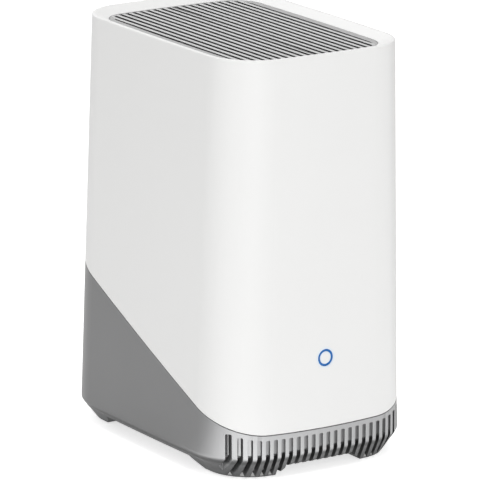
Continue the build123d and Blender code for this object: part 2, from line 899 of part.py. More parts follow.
def make_fan_stator():
    """Bearing tube with the motor's coils round it."""
    base = deck_top + fan_base_thickness
    stator = rod(0, 0, base, base + bearing_height, bearing_radius)
    coil_low = base + (bearing_height - coil_height) / 2
    stator += rod(0, 0, coil_low, coil_low + coil_height, coil_radius)
    for k in range(coil_pole_count):
        cut = block(bearing_radius + hub_wall, coil_radius + overrun, -coil_pole_gap / 2, coil_pole_gap / 2,
                    coil_low - overrun, coil_low + coil_height + overrun)
        stator -= Rot(0, 0, 360 * k / coil_pole_count) * cut
    return stator - rod(0, 0, base, base + bearing_height + overrun, fan_shaft_radius + fan_shaft_play)


def make_fan_rotor():
    """Hub cup with its shaft and swept blades."""
    base = deck_top + fan_base_thickness
    low = base + hub_skirt_gap
    top = deck_top + fan_height - hub_top_drop
    hub = rod(0, 0, low, top, hub_radius)
    hub -= rod(0, 0, low - overrun, top - hub_wall, hub_radius - hub_wall)
    hub += rod(0, 0, base + hub_skirt_gap, top, fan_shaft_radius)
    tip = fan_bore_radius - blade_tip_gap
    root = hub_radius - hub_wall / 2
    blade = Box(tip - root, blade_chord, blade_thickness, align=(Align.MIN, Align.CENTER, Align.CENTER))
    blade = Pos(root, 0, (low + top) / 2) * Rot(blade_angle, 0, 0) * blade
    ring = rod(0, 0, low - overrun, top + overrun, tip) - rod(0, 0, low - overrun, top + overrun, root)
    blade = common(blade, ring)
    for k in range(blade_count):
        hub += Rot(0, 0, 360 * k / blade_count) * blade
    return hub


def make_main_board():
    half = main_board_half_width
    rear = main_board_y + board_thickness
    board = block(-half, half, main_board_y, rear, main_board_bottom, main_board_top)
    hole = board_shank_radius + screw_play
    for side in (-1, 1):
        for z in (main_board_bottom + board_boss_inset, main_board_top - board_boss_inset):
            board -= rod_along_y(side * post_x, z, main_board_y - overrun, rear + overrun, hole)
    for x, z in sink_pin_places():
        board -= rod_along_y(x, z, main_board_y - overrun, rear + overrun, sink_pin_radius)
    return board


def make_board_screws():
    screws = []
    for side in (-1, 1):
        for z in (main_board_bottom + board_boss_inset, main_board_top - board_boss_inset):
            place = Pos(side * post_x, main_board_y, z) * Rot(-90, 0, 0)
            screws.append(screw(place, board_head_radius, board_head_height, board_shank_radius,
                                board_screw_length))
    return group(screws)


def make_processor():
    half = processor_size / 2
    return block(-half, half, main_board_y - processor_height, main_board_y,
                 processor_centre_height - half, processor_centre_height + half)


def make_thermal_pad():
    half = processor_size / 2
    rear = main_board_y - processor_height
    return block(-half, half, rear - thermal_pad_thickness, rear,
                 processor_centre_height - half, processor_centre_height + half)


def sink_rear():
    return main_board_y - processor_height - thermal_pad_thickness


def sink_pin_places():
    """The two push pins stand in opposite corners of the heat sink."""
    x = sink_width / 2 - sink_pin_inset
    z = sink_height / 2 - sink_pin_inset
    return [(-x, processor_centre_height - z), (x, processor_centre_height + z)]


def make_heat_sink():
    """Finned block; its fins stand upright, along the air's way to the fan."""
    half = sink_width / 2
    low, high = processor_centre_height - sink_height / 2, processor_centre_height + sink_height / 2
    rear = sink_rear()
    sink = block(-half, half, rear - sink_base, rear, low, high)
    step = (sink_width - sink_fin_thickness) / (sink_fin_count - 1)
    for k in range(sink_fin_count):
        x = -half + k * step
        fin_front = rear - sink_base - sink_fin_height
        sink += block(x, x + sink_fin_thickness, fin_front, rear - sink_base / 2, low, high)
    for x, z in sink_pin_places():
        clear = sink_pin_head_radius + panel_hole_play
        sink -= rod_along_y(x, z, rear - sink_base - sink_fin_height - overrun, rear - sink_base, clear)
        sink -= rod_along_y(x, z, rear - sink_base - overrun, rear + overrun, sink_pin_radius + screw_play)
    return sink


def make_heat_sink_pins():
    seat = sink_rear() - sink_base
    tip = main_board_y + 2 * board_thickness
    pins = []
    for x, z in sink_pin_places():
        shank = rod_along_y(x, z, seat, tip, sink_pin_radius - screw_play)
        head = rod_along_y(x, z, seat - sink_pin_head_height, seat, sink_pin_head_radius)
        pins.append(shank + head)
    return group(pins)


def row_of_blocks(count, pitch, width, height, thickness, centre_height):
    """Parts in a row on the main board's front face."""
    pieces = []
    for k in range(count):
        x = (k - (count - 1) / 2) * pitch
        pieces.append(block(x - width / 2, x + width / 2, main_board_y - thickness, main_board_y,
                            centre_height - height / 2, centre_height + height / 2))
    return group(pieces)


def make_memory_chips():
    return row_of_blocks(memory_count, memory_pitch, memory_width, memory_height, memory_thickness,
                         memory_centre_height)


def make_radio_shields():
    return row_of_blocks(shield_count, shield_pitch, shield_width, shield_height, shield_thickness,
                         main_board_top - shield_drop)


def make_capacitors():
    pieces = []
    for k in range(capacitor_count):
        x = (k - (capacitor_count - 1) / 2) * capacitor_pitch
        pieces.append(rod_along_y(x, capacitor_centre_height, main_board_y - capacitor_height, main_board_y,
                                  capacitor_radius))
    return group(pieces)


def make_power_coils():
    pieces = []
    for k in range(coil_block_count):
        z = memory_centre_height + (k + 1) * coil_block_pitch
        x, half = main_board_half_width - coil_block_inset, coil_block_size / 2
        front = main_board_y - coil_block_height
        pieces.append(block(x - half, x + half, front, main_board_y, z - half, z + half))
    return group(pieces)


def make_backup_cell():
    """Round cell that keeps the clock, on the board's rear face."""
    rear = main_board_y + board_thickness
    return rod_along_y(0, cell_centre_height, rear, rear + cell_thickness, cell_radius)


def port_top():
    return port_board_height + board_thickness


def jack_front():
    return panel_outer_y + jack_proud


def make_port_board():
    half = port_board_half_width
    board = block(-half, half, port_board_front_y, port_board_rear_y, port_board_height, port_top())
    for side in (-1, 1):
        for y in (port_boss_y, port_boss_rear_y):
            hole = small_shank_radius + screw_play
            board -= rod(side * port_boss_x, y, port_board_height - overrun, port_top() + overrun, hole)
    return board


def make_port_board_screws():
    screws = []
    for side in (-1, 1):
        place = Pos(side * port_boss_x, port_boss_y, port_top()) * Rot(180, 0, 0)
        screws.append(small_screw(place, port_screw_length))
    return group(screws)


def make_board_header():
    """Connector between the main board and the socket board."""
    front = main_board_y + board_thickness
    half = header_width / 2
    upright = block(-half, half, front, front + header_depth, port_top(), port_top() + header_height)
    return upright


def make_port_panel():
    """Panel that the sockets and buttons look out of."""
    half = panel_width / 2
    inner = panel_outer_y - panel_thickness
    panel = block(-half, half, inner, panel_outer_y, panel_bottom, panel_top)
    low, high = inner - overrun, panel_outer_y + overrun
    base = port_top()
    sizes = ((power_jack_x, power_jack_width, power_jack_height),
             (network_jack_x, network_jack_width, network_jack_height),
             (usb_jack_x, usb_jack_width, usb_jack_height))
    for x, width, height in sizes:
        reach = width / 2 + panel_hole_play
        top = base + height + panel_hole_play
        panel -= block(x - reach, x + reach, low, high, base - panel_hole_play, top)
    panel -= rod_along_y(button_x, sync_height, low, high, sync_radius + button_play)
    panel -= rod_along_y(button_x, reset_height, low, high, reset_hole_radius)
    return panel


def jack_block(x, width, height, depth):
    front, base = jack_front(), port_top()
    return block(x - width / 2, x + width / 2, front - depth, front, base, base + height)


def power_axis_height():
    return port_top() + power_jack_height / 2


def make_power_jack():
    jack = jack_block(power_jack_x, power_jack_width, power_jack_height, power_jack_depth)
    return jack - rod_along_y(power_jack_x, power_axis_height(), jack_front() - power_bore_depth,
                              jack_front() + overrun, power_bore_radius)


def make_power_jack_pin():
    low = jack_front() - power_bore_depth
    return rod_along_y(power_jack_x, power_axis_height(), low, low + power_pin_length, power_pin_radius)


def network_mouth():
    """Room that a network plug takes, with its latch below."""
    x, z = network_jack_x, port_top() + network_mouth_bottom
    rear = jack_front() - network_mouth_depth
    half = network_mouth_width / 2
    mouth = block(x - half, x + half, rear, jack_front() + overrun, z, z + network_mouth_height)
    latch = network_latch_width / 2
    return mouth + block(x - latch, x + latch, rear, jack_front() + overrun, z - network_latch_height, z)


def make_network_jack():
    jack = jack_block(network_jack_x, network_jack_width, network_jack_height, network_jack_depth)
    return jack - network_mouth()


def make_network_contacts():
    """Gold fingers under the mouth's ceiling."""
    top = port_top() + network_mouth_bottom + network_mouth_height
    rear = jack_front() - network_mouth_depth
    pieces = []
    for k in range(network_contact_count):
        x = network_jack_x + (k - (network_contact_count - 1) / 2) * network_contact_pitch
        pieces.append(block(x - network_contact_width / 2, x + network_contact_width / 2,
                            rear, rear + network_contact_length, top - network_contact_height, top))
    return group(pieces)


def make_usb_jack():
    jack = jack_block(usb_jack_x, usb_jack_width, usb_jack_height, usb_jack_depth)
    half = usb_jack_width / 2 - usb_wall
    rear, front = jack_front() - usb_mouth_depth, jack_front() + overrun
    low, high = port_top() + usb_wall, port_top() + usb_jack_height - usb_wall
    mouth = block(usb_jack_x - half, usb_jack_x + half, rear, front, low, high)
    return jack - mouth


def make_usb_tongue():
    rear = jack_front() - usb_mouth_depth
    half = usb_tongue_width / 2
    top = port_top() + usb_jack_height - usb_wall - usb_tongue_drop
    return block(usb_jack_x - half, usb_jack_x + half, rear, rear + usb_tongue_length,
                 top - usb_tongue_height, top)


def make_button_board():
    """Small upright board behind the two buttons."""
    half = button_board_width / 2
    return block(button_x - half, button_x + half, button_board_y, button_board_y + button_board_thickness,
                 port_top(), button_board_top)


def panel_inner():
    return panel_outer_y - panel_thickness


def make_sync_switch():
    """Push switch behind the sync button; it leaves the button's travel free."""
    half = switch_size / 2
    rear = button_board_y + button_board_thickness
    front = panel_inner() - button_play - sync_flange_thickness - sync_travel - switch_gap
    return block(button_x - half, button_x + half, rear, front, sync_height - half, sync_height + half)


def make_sync_button():
    """Round button with a flange behind the panel."""
    flange_rear = panel_inner() - button_play - sync_flange_thickness
    cap = rod_along_y(button_x, sync_height, flange_rear, panel_outer_y + sync_proud, sync_radius)
    flange = rod_along_y(button_x, sync_height, flange_rear, flange_rear + sync_flange_thickness,
                         sync_radius + sync_flange)
    return cap + flange


def make_reset_switch():
    half = switch_size / 2
    rear = button_board_y + button_board_thickness
    front = panel_inner() - button_play - reset_thickness - reset_travel - switch_gap
    return block(button_x - half, button_x + half, rear, front, reset_height - half, reset_height + half)


def make_reset_button():
    """Small plunger behind the pinhole."""
    rear = panel_inner() - button_play - reset_thickness
    return rod_along_y(button_x, reset_height, rear, rear + reset_thickness, reset_radius)


def make_speaker_bracket():
    """Bridge over the front floor that the speaker hangs in, facing down."""
    high = bracket_height + bracket_thickness
    low_y, high_y = speaker_y - bracket_half_depth, speaker_y + bracket_half_depth
    bracket = block(-bracket_half_width, bracket_half_width, low_y, high_y, bracket_height, high)
    bracket -= rod(0, speaker_y, bracket_height - overrun, high + overrun, speaker_hole_radius)
    for side in (-1, 1):
        inner, outer = sorted((side * (bracket_half_width - bracket_leg), side * bracket_half_width))
        bracket += block(inner, outer, low_y, high_y, floor_top, high)
    for x, y in speaker_screw_places():
        bracket -= rod(x, y, bracket_height - overrun, high + overrun, small_shank_radius + screw_play)
    return bracket


def speaker_screw_places():
    reach = speaker_screw_spread / math.sqrt(2)
    return [(x, speaker_y + y) for x, y in four(reach, reach)]


def speaker_seat():
    return bracket_height + bracket_thickness


def make_speaker_frame():
    """Speaker basket: a flange on the bracket and a drum above it."""
    seat = speaker_seat()
    flange_top = seat + speaker_flange_thickness
    frame = rod(0, speaker_y, seat, flange_top, speaker_radius)
    frame += rod(0, speaker_y, flange_top, seat + speaker_basket_height, speaker_basket_radius)
    wide = speaker_basket_radius - speaker_cone_wall
    throat = Cone(wide, speaker_cone_neck_radius, speaker_basket_height - speaker_flange_thickness,
                  align=(Align.CENTER, Align.CENTER, Align.MIN))
    frame -= Pos(0, speaker_y, seat) * throat
    frame -= rod(0, speaker_y, seat, seat + speaker_basket_height + overrun, speaker_cone_neck_radius / 2)
    for x, y in speaker_screw_places():
        frame -= rod(x, y, seat - overrun, flange_top + overrun, small_shank_radius + screw_play)
    return frame


def make_speaker_cone():
    """Thin cone inside the basket, a hair clear of it."""
    seat = speaker_seat()
    height = speaker_basket_height - speaker_flange_thickness - speaker_cone_gap
    wide = speaker_basket_radius - speaker_cone_wall - speaker_cone_gap
    neck = speaker_cone_neck_radius - speaker_cone_gap
    up = (Align.CENTER, Align.CENTER, Align.MIN)
    cone = Cone(wide, neck, height, align=up)
    cone -= Cone(wide - speaker_cone_wall, neck - speaker_cone_wall, height - speaker_cone_wall, align=up)
    return Pos(0, speaker_y, seat) * cone


def make_speaker_magnet():
    low = speaker_seat() + speaker_basket_height
    return rod(0, speaker_y, low, low + speaker_magnet_height, speaker_magnet_radius)


def make_speaker_screws():
    flange_top = speaker_seat() + speaker_flange_thickness
    screws = []
    for x, y in speaker_screw_places():
        place = Pos(x, y, flange_top) * Rot(180, 0, 0)
        screws.append(small_screw(place, speaker_screw_length))
    return group(screws)


def tray_reach():
    """Half the tray's outer size, across and front to back."""
    return drive_width / 2 + tray_play + tray_wall, drive_thickness / 2 + tray_play + tray_wall


def drive_top():
    return tray_bottom + tray_wall + drive_length


def make_drive():
    """Plain 2.5-inch drive, standing on end in its tray."""
    low = tray_bottom + tray_wall
    half_x, half_y = drive_width / 2, drive_thickness / 2
    shape = block(-half_x, half_x, drive_y - half_y, drive_y + half_y, low, low + drive_length)
    return fillet(shape.edges().filter_by(Axis.Z), drive_edge_round)


def make_drive_tray():
    """Tray that holds the drive: a floor, two side rails and a low back wall."""
    reach_x, reach_y = tray_reach()
    top = drive_top()
    tray = block(-reach_x, reach_x, drive_y - reach_y, drive_y + reach_y, tray_bottom, top)
    inner_x, inner_y = reach_x - tray_wall, reach_y - tray_wall
    low, high = tray_bottom + tray_wall, top + overrun
    tray -= block(-inner_x, inner_x, drive_y - inner_y, drive_y + inner_y, low, high)
    window = inner_x * tray_back_share
    through_y = reach_y + overrun
    tray -= block(-window, window, drive_y - through_y, drive_y + through_y, low + tray_sill_height, high)
    return tray


def make_drive_bay():
    """Sheet metal chute that the tray slides in, with feet on the floor and an open top."""
    reach_x, reach_y = tray_reach()
    inner_x, inner_y = reach_x + bay_play, reach_y + bay_play
    outer_x, outer_y = inner_x + bay_wall, inner_y + bay_wall
    top = drive_top() + drive_connector_gap + drive_connector_height
    bay = block(-outer_x, outer_x, drive_y - outer_y, drive_y + outer_y, floor_top, top)
    for side in (-1, 1):
        low, high = sorted((side * outer_x, side * (outer_x + bay_flange)))
        bay += block(low, high, drive_y - outer_y, drive_y + outer_y, floor_top, floor_top + bay_wall)
    bay -= block(-inner_x, inner_x, drive_y - inner_y, drive_y + inner_y, floor_top - overrun, top + overrun)
    window = inner_x * bay_window_share
    middle = (floor_top + top) / 2
    tall = (top - floor_top) * bay_window_share / 2
    return bay - block(-window, window, drive_y - outer_y - overrun, drive_y + outer_y + overrun,
                       middle - tall, middle + tall)


def make_drive_board():
    """Board across the bay's top that carries the drive's connector back to the main board."""
    low = drive_top() + drive_connector_gap + drive_connector_height
    half = drive_board_width / 2
    return block(-half, half, drive_y - drive_board_reach, main_board_y, low, low + board_thickness)


def make_drive_connector():
    low = drive_top() + drive_connector_gap
    half, deep = drive_connector_width / 2, drive_connector_depth / 2
    return block(-half, half, drive_y - deep, drive_y + deep, low, low + drive_connector_height)


def make_drive_cover():
    """Cover that closes the bottom opening and carries the tray."""
    face = RectangleRounded(cover_width, cover_rear_y - cover_front_y, cover_corner_radius - cover_play)
    cover = Pos(0, (cover_front_y + cover_rear_y) / 2, underside_height) * extrude(face, cover_thickness)
    hole = thumb_shank_radius + thumb_play
    return cover - rod(0, thumb_y, underside_height - overrun, tray_bottom + overrun, hole)


def make_thumb_screw():
    """Finger-turned screw with a gripped rim, captive in the cover."""
    low = underside_height - thumb_play - thumb_head_height
    head_top = low + thumb_head_height
    head = rod(0, thumb_y, low, head_top, thumb_head_radius)
    for k in range(thumb_grip_count):
        turn = 2 * math.pi * k / thumb_grip_count
        x = thumb_head_radius * math.cos(turn)
        y = thumb_y + thumb_head_radius * math.sin(turn)
        head -= rod(x, y, low - overrun, head_top + overrun, thumb_grip_radius)
    slot_top = low + thumb_head_height * screw_slot_depth_share
    head -= block(-thumb_head_radius, thumb_head_radius, thumb_y - screw_slot_width,
                  thumb_y + screw_slot_width, low - overrun, slot_top)
    return head + rod(0, thumb_y, head_top - thumb_play, floor_top + thumb_boss_height, thumb_shank_radius)


def make_rating_label():
    """Blank label on the underside."""
    slot_end_y = slot_reach - half_depth
    half = foot_inner_x - label_side_gap
    deep = (cover_front_y - slot_end_y) * label_depth_share / 2
    centre = (cover_front_y + slot_end_y) / 2
    low = underside_height - label_thickness
    return block(-half, half, centre - deep, centre + deep, low, underside_height)


pieces = {
    "outer_shell": make_outer_shell,
    "chassis": make_chassis,
    "top_grille": make_top_grille,
    "foot_pads": make_foot_pads,
    "led_ring": make_led_ring,
    "ring_centre": make_ring_centre,
    "led_board": make_led_board,
    "leds": make_leds,
    "led_board_screws": make_led_board_screws,
    "inner_frame": make_inner_frame,
    "frame_screws": make_frame_screws,
    "shell_screws": make_shell_screws,
    "fan_frame": make_fan_frame,
    "fan_screws": make_fan_screws,
    "fan_stator": make_fan_stator,
    "fan_rotor": make_fan_rotor,
    "main_board": make_main_board,
    "board_screws": make_board_screws,
    "processor": make_processor,
    "thermal_pad": make_thermal_pad,
    "heat_sink": make_heat_sink,
    "heat_sink_pins": make_heat_sink_pins,
    "memory_chips": make_memory_chips,
    "radio_shields": make_radio_shields,
    "capacitors": make_capacitors,
    "power_coils": make_power_coils,
    "backup_cell": make_backup_cell,
    "port_panel": make_port_panel,
    "port_board": make_port_board,
    "port_board_screws": make_port_board_screws,
    "board_header": make_board_header,
    "power_jack": make_power_jack,
    "power_jack_pin": make_power_jack_pin,
    "network_jack": make_network_jack,
    "network_contacts": make_network_contacts,
    "usb_jack": make_usb_jack,
    "usb_tongue": make_usb_tongue,
    "button_board": make_button_board,
    "sync_switch": make_sync_switch,
    "sync_button": make_sync_button,
    "reset_switch": make_reset_switch,
    "reset_button": make_reset_button,
    "speaker_bracket": make_speaker_bracket,
    "speaker_frame": make_speaker_frame,
    "speaker_cone": make_speaker_cone,
    "speaker_magnet": make_speaker_magnet,
    "speaker_screws": make_speaker_screws,
    "drive": make_drive,
    "drive_tray": make_drive_tray,
    "drive_bay": make_drive_bay,
    "drive_board": make_drive_board,
    "drive_connector": make_drive_connector,
    "drive_cover": make_drive_cover,
    "thumb_screw": make_thumb_screw,
    "rating_label": make_rating_label,
}


def main():
    os.makedirs("parts", exist_ok=True)
    for name, make in pieces.items():
        export_step(make(), os.path.join("parts", name + ".step"))
    export_step(make_aerial(-1), os.path.join("parts", "aerial_left.step"))
    export_step(make_aerial(1), os.path.join("parts", "aerial_right.step"))


main()
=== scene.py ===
# %% [markdown]
# # A base station for wireless security cameras
#
# The real thing is a tall box with soft corners. A white plastic sleeve stands on a grey moulded foot, a
# louvred plate closes the top, and a small ring of light sits in the front. Inside are a fan, circuit
# boards, a speaker and a drive that slides out below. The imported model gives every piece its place. This
# lesson gives each one the surface of the real material, and rebuilds the pieces that are seen most in
# finer mesh.

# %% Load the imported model
import math

import bmesh
import bpy
from mathutils import Matrix, Vector


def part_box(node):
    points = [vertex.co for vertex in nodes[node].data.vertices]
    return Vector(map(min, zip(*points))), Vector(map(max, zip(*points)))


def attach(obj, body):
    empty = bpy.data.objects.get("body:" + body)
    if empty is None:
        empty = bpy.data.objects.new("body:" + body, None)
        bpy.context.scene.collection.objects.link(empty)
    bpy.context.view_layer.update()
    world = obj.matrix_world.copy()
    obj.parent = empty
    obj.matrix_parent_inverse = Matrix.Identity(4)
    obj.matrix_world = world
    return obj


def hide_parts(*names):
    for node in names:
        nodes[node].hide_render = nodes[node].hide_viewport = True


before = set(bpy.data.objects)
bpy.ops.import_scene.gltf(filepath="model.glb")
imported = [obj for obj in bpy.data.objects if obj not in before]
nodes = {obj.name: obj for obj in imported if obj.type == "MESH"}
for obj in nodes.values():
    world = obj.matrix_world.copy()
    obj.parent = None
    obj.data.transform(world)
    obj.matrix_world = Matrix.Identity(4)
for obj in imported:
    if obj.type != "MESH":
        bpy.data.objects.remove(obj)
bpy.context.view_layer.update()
mm = 0.001

# %% [markdown]
# ## The camera
#
# A product photograph like this one is taken from far away with a long lens, so that upright edges stay
# almost parallel. The camera stands to the object's left and a little above it. Its place is worked out
# from two angles and a distance, which is easier to adjust than three coordinates.

# %% Place the camera
camera_turn = math.radians(33.544)
camera_rise = math.radians(14.795)
camera_roll = math.radians(0.6575)
camera_distance = 2256 * mm
aim_height = 92.57 * mm
aim_right, aim_up = 0.182 * mm, 2.14 * mm
focal_pixels, image_pixels = 4775.6, 480

back = Vector((-math.sin(camera_turn) * math.cos(camera_rise), -math.cos(camera_turn) * math.cos(camera_rise),
               math.sin(camera_rise)))
right = Vector((math.cos(camera_turn), -math.sin(camera_turn), 0))
up = back.cross(right)
place = back * camera_distance + right * aim_right + up * aim_up + Vector((0, 0, aim_height))
rolled_right = right * math.cos(camera_roll) + up * math.sin(camera_roll)
rolled_up = up * math.cos(camera_roll) - right * math.sin(camera_roll)

camera_data = bpy.data.cameras.new("camera")
camera_data.sensor_width = 36
camera_data.lens = camera_data.sensor_width * focal_pixels / image_pixels
camera_data.clip_end = 20
camera = bpy.data.objects.new("camera", camera_data)
axes = Matrix((rolled_right, rolled_up, back)).transposed().to_4x4()
camera.matrix_world = Matrix.Translation(place) @ axes
bpy.context.scene.collection.objects.link(camera)
bpy.context.scene.camera = camera
print("camera at", [round(v, 3) for v in place])

# %% [markdown]
# ## The studio
#
# The object stands on a white table in front of a white wall. Large soft lamps give pale plastic its slow
# change of tone, and a strip on the front left draws the bright line down the near corner. The world is
# white for the camera and for reflections, and grey for everything else, so the background stays white
# without more light on the object.

# %% Place the lamps and fill the world
body_middle = Vector((0, 0, 100 * mm))


def soft_lamp(name, azimuth, elevation, distance, width, height, power):
    """Rectangular lamp that looks at the body's middle. Azimuth 0 is the front, positive to the right."""
    data = bpy.data.lights.new(name, "AREA")
    data.shape = "RECTANGLE"
    data.size, data.size_y = width, height
    data.energy = power
    lamp = bpy.data.objects.new(name, data)
    turn, rise = math.radians(azimuth), math.radians(elevation)
    way = Vector((math.sin(turn) * math.cos(rise), -math.cos(turn) * math.cos(rise), math.sin(rise)))
    facing = way.to_track_quat("Z", "Y").to_matrix().to_4x4()
    lamp.matrix_world = Matrix.Translation(body_middle + way * distance) @ facing
    bpy.context.scene.collection.objects.link(lamp)


soft_lamp("front_lamp", -14, 20, 1.5, 0.8, 1.1, 4.7)
soft_lamp("corner_strip", -26, 14, 1.3, 0.25, 1.1, 2.4)
soft_lamp("side_lamp", -98, 18, 1.5, 0.9, 0.9, 2.65)
soft_lamp("top_lamp", 0, 86, 1.5, 1.2, 1.2, 13.5)
soft_lamp("rear_lamp", 180, 35, 1.8, 1.2, 0.9, 5.0)

scene = bpy.context.scene
scene.view_settings.view_transform = "Standard"
world = bpy.data.worlds.new("studio_air")
world.use_nodes = True
scene.world = world
air = world.node_tree
air.nodes.clear()
rays = air.nodes.new("ShaderNodeLightPath")
seen = air.nodes.new("ShaderNodeMath")
seen.operation = "MAXIMUM"
seen_through = air.nodes.new("ShaderNodeMath")
seen_through.operation = "MAXIMUM"
air.links.new(rays.outputs["Is Camera Ray"], seen.inputs[0])
air.links.new(rays.outputs["Is Glossy Ray"], seen.inputs[1])
air.links.new(seen.outputs[0], seen_through.inputs[0])
air.links.new(rays.outputs["Is Transmission Ray"], seen_through.inputs[1])
dim_air = air.nodes.new("ShaderNodeBackground")
dim_air.inputs["Color"].default_value = (1, 0.995, 0.985, 1)
dim_air.inputs["Strength"].default_value = 0.28
white_air = air.nodes.new("ShaderNodeBackground")
white_air.inputs["Strength"].default_value = 1.0
white_air.inputs["Color"].default_value = (1, 1, 1, 1)
air_mix = air.nodes.new("ShaderNodeMixShader")
air.links.new(seen_through.outputs[0], air_mix.inputs[0])
air.links.new(dim_air.outputs[0], air_mix.inputs[1])
air.links.new(white_air.outputs[0], air_mix.inputs[2])
air_out = air.nodes.new("ShaderNodeOutputWorld")
air.links.new(air_mix.outputs[0], air_out.inputs[0])

# %% [markdown]
# ## Shader maths as Python
#
# A material in Blender is a graph of nodes. Wiring it by hand is long and hard to read, so a small class
# wraps one socket and lets Python's own operators add the Math nodes. A second class holds one material
# while it is made. Its method node adds any other node, and short methods on top of it make the ones used
# most.

# %% Two small classes
class Wire:
    """One output socket. Sums on it add Math nodes, or Vector Math nodes if it carries a vector."""

    def __init__(self, finish, socket):
        self.finish, self.socket = finish, socket

    def _combine(self, operation, first, second):
        wires = [w for w in (first, second) if isinstance(w, Wire)]
        if any(w.socket.type in ("VECTOR", "RGBA") for w in wires):
            values = [w if isinstance(w, (Wire, tuple)) else (w, w, w) for w in (first, second)]
            return self.finish.node("ShaderNodeVectorMath", {"operation": operation}, dict(enumerate(values)))
        return self.finish.maths(operation, first, second)

    def __add__(self, other):
        return self._combine("ADD", self, other)

    def __radd__(self, other):
        return self._combine("ADD", other, self)

    def __sub__(self, other):
        return self._combine("SUBTRACT", self, other)

    def __rsub__(self, other):
        return self._combine("SUBTRACT", other, self)

    def __mul__(self, other):
        return self._combine("MULTIPLY", self, other)

    def __rmul__(self, other):
        return self._combine("MULTIPLY", other, self)

    def __lt__(self, other):
        return self._combine("LESS_THAN", self, other)

    def __gt__(self, other):
        return self._combine("GREATER_THAN", self, other)

    def __abs__(self):
        return self.finish.maths("ABSOLUTE", self)


class Finish:
    """One material while it is being made, with its Principled shader."""

    def __init__(self, name, **fixed):
        self.material = bpy.data.materials.new(name)
        self.material.use_nodes = True
        self.tree = self.material.node_tree
        self.tree.nodes.clear()
        self.shader = self.tree.nodes.new("ShaderNodeBsdfPrincipled")
        self.output = self.tree.nodes.new("ShaderNodeOutputMaterial")
        self.tree.links.new(self.shader.outputs[0], self.output.inputs[0])
        for socket, value in fixed.items():
            self.feed(self.shader.inputs[socket.replace("_", " ")], value)

    def feed(self, socket, value):
        """Links a wire to a socket, or sets the socket to a plain value."""
        if isinstance(value, Wire):
            self.tree.links.new(value.socket, socket)
        elif socket.type == "RGBA" and len(value) == 3:
            socket.default_value = (*value, 1)
        else:
            socket.default_value = value

    def node(self, kind, settings=None, inputs=None, output=0):
        """Adds a node: its settings are set first, then its sockets."""
        made = self.tree.nodes.new(kind)
        for key, value in (settings or {}).items():
            setattr(made, key, value)
        for key, value in (inputs or {}).items():
            self.feed(made.inputs[key], value)
        return Wire(self, made.outputs[output])

    def maths(self, operation, *values):
        """Adds a Math node by the name of its operation."""
        return self.node("ShaderNodeMath", {"operation": operation}, dict(enumerate(values)))

    def fade(self, value, start, end, low=0.0, high=1.0, soft=False):
        """Goes from low to high while the value goes from start to end. soft eases both ends."""
        kind = "SMOOTHSTEP" if soft else "LINEAR"
        limits = {"Value": value, "From Min": start, "From Max": end, "To Min": low, "To Max": high}
        return self.node("ShaderNodeMapRange", {"interpolation_type": kind}, limits)

    def place(self):
        """The point on the piece, in metres, in the piece's own space."""
        return self.node("ShaderNodeTexCoord", output="Object")

    def noise(self, scale, detail=2.0, stretch=(1, 1, 1)):
        """Soft noise from 0 to 1. scale is in features per metre; stretch slows it along an axis."""
        where = self.place() * tuple(scale * s for s in stretch)
        return self.node("ShaderNodeTexNoise", {}, {"Vector": where, "Scale": 1.0, "Detail": detail})

    def axis(self, letter):
        """One coordinate of the place, in metres."""
        return self.node("ShaderNodeSeparateXYZ", {}, {0: self.place()}, letter)

    def mix(self, share, first, second):
        """A colour between two colours."""
        return self.node("ShaderNodeMix", {"data_type": "RGBA"}, {0: share, 6: first, 7: second}, 2)

    def bump(self, height, depth, edge_radius=0.0):
        """Dents the surface by depth, in metres, for a height of 1. edge_radius softens sharp edges."""
        inputs = {"Height": height, "Distance": depth, "Strength": 1.0}
        if edge_radius:
            inputs["Normal"] = self.node("ShaderNodeBevel", {"samples": 6}, {"Radius": edge_radius})
        self.feed(self.shader.inputs["Normal"], self.node("ShaderNodeBump", {}, inputs))

    def colour(self, value):
        self.feed(self.shader.inputs["Base Color"], value)

    def roughness(self, value):
        self.feed(self.shader.inputs["Roughness"], value)


print("classes made:", Wire.__name__, Finish.__name__)

# %% [markdown]
# ## Moulded plastic
#
# The sleeve, the foot and the grille are injection moulded. The steel mould is spark eroded, which leaves
# an even, very fine grain that you feel more than see. It softens the highlight. So each plastic gets a
# little bump from noise at about a quarter of a millimetre, and a slow drift of tone of about one percent.
# The foot's grey has metal flakes in it, so it is mostly metallic, and it mirrors its surroundings softly.
#
# The foot's grey is darkened as painted shade in two places that get little light: on the floors of its front
# grooves, and in a thin line just below its crease. Each is a mask, a function that gives 0 to 1 from the
# place on the piece. The first folds the distance from the middle into one groove's width, and keeps what
# lies deep behind the ribs.

# %% Plastic finishes
groove_pitch, groove_half = 4.106 * mm, 1.075 * mm
front_arc_middle, front_arc_radius = 341.6 * mm, 415.1 * mm
grooves_rear_end = -60 * mm
# Height of the painted shade line below the crease.
crease_shade_height = 9.1 * mm
foot_grey = (0.225, 0.226, 0.228)
grains_per_metre = 4000.0
drift = 0.02
# The share of the foot's grey that is left where painted shade darkens it.
painted_shade_share = 0.56


def groove_floor_shade(made):
    """Painted shade: 1 on the floors of the front grooves, 0 on the ribs. It fades out before the corners."""
    x, y = made.axis("X"), made.axis("Y") - front_arc_middle
    from_rib = made.maths("PINGPONG", x, groove_pitch / 2)
    in_groove = from_rib > groove_pitch / 2 - groove_half
    radius = made.maths("SQRT", x * x + y * y)
    depth = made.fade(front_arc_radius - radius, 0.3 * mm, 0.8 * mm)
    middle = made.fade(abs(x), 40 * mm, 32 * mm)
    return in_groove * depth * middle * (made.axis("Y") < grooves_rear_end)


def crease_line_shade(made):
    """Painted shade: up to 1 in a thin line below the crease, where the chamfer begins."""
    return made.fade(abs(made.axis("Z") - crease_shade_height), 1.3 * mm, 0.3 * mm, 0.0, 0.8)


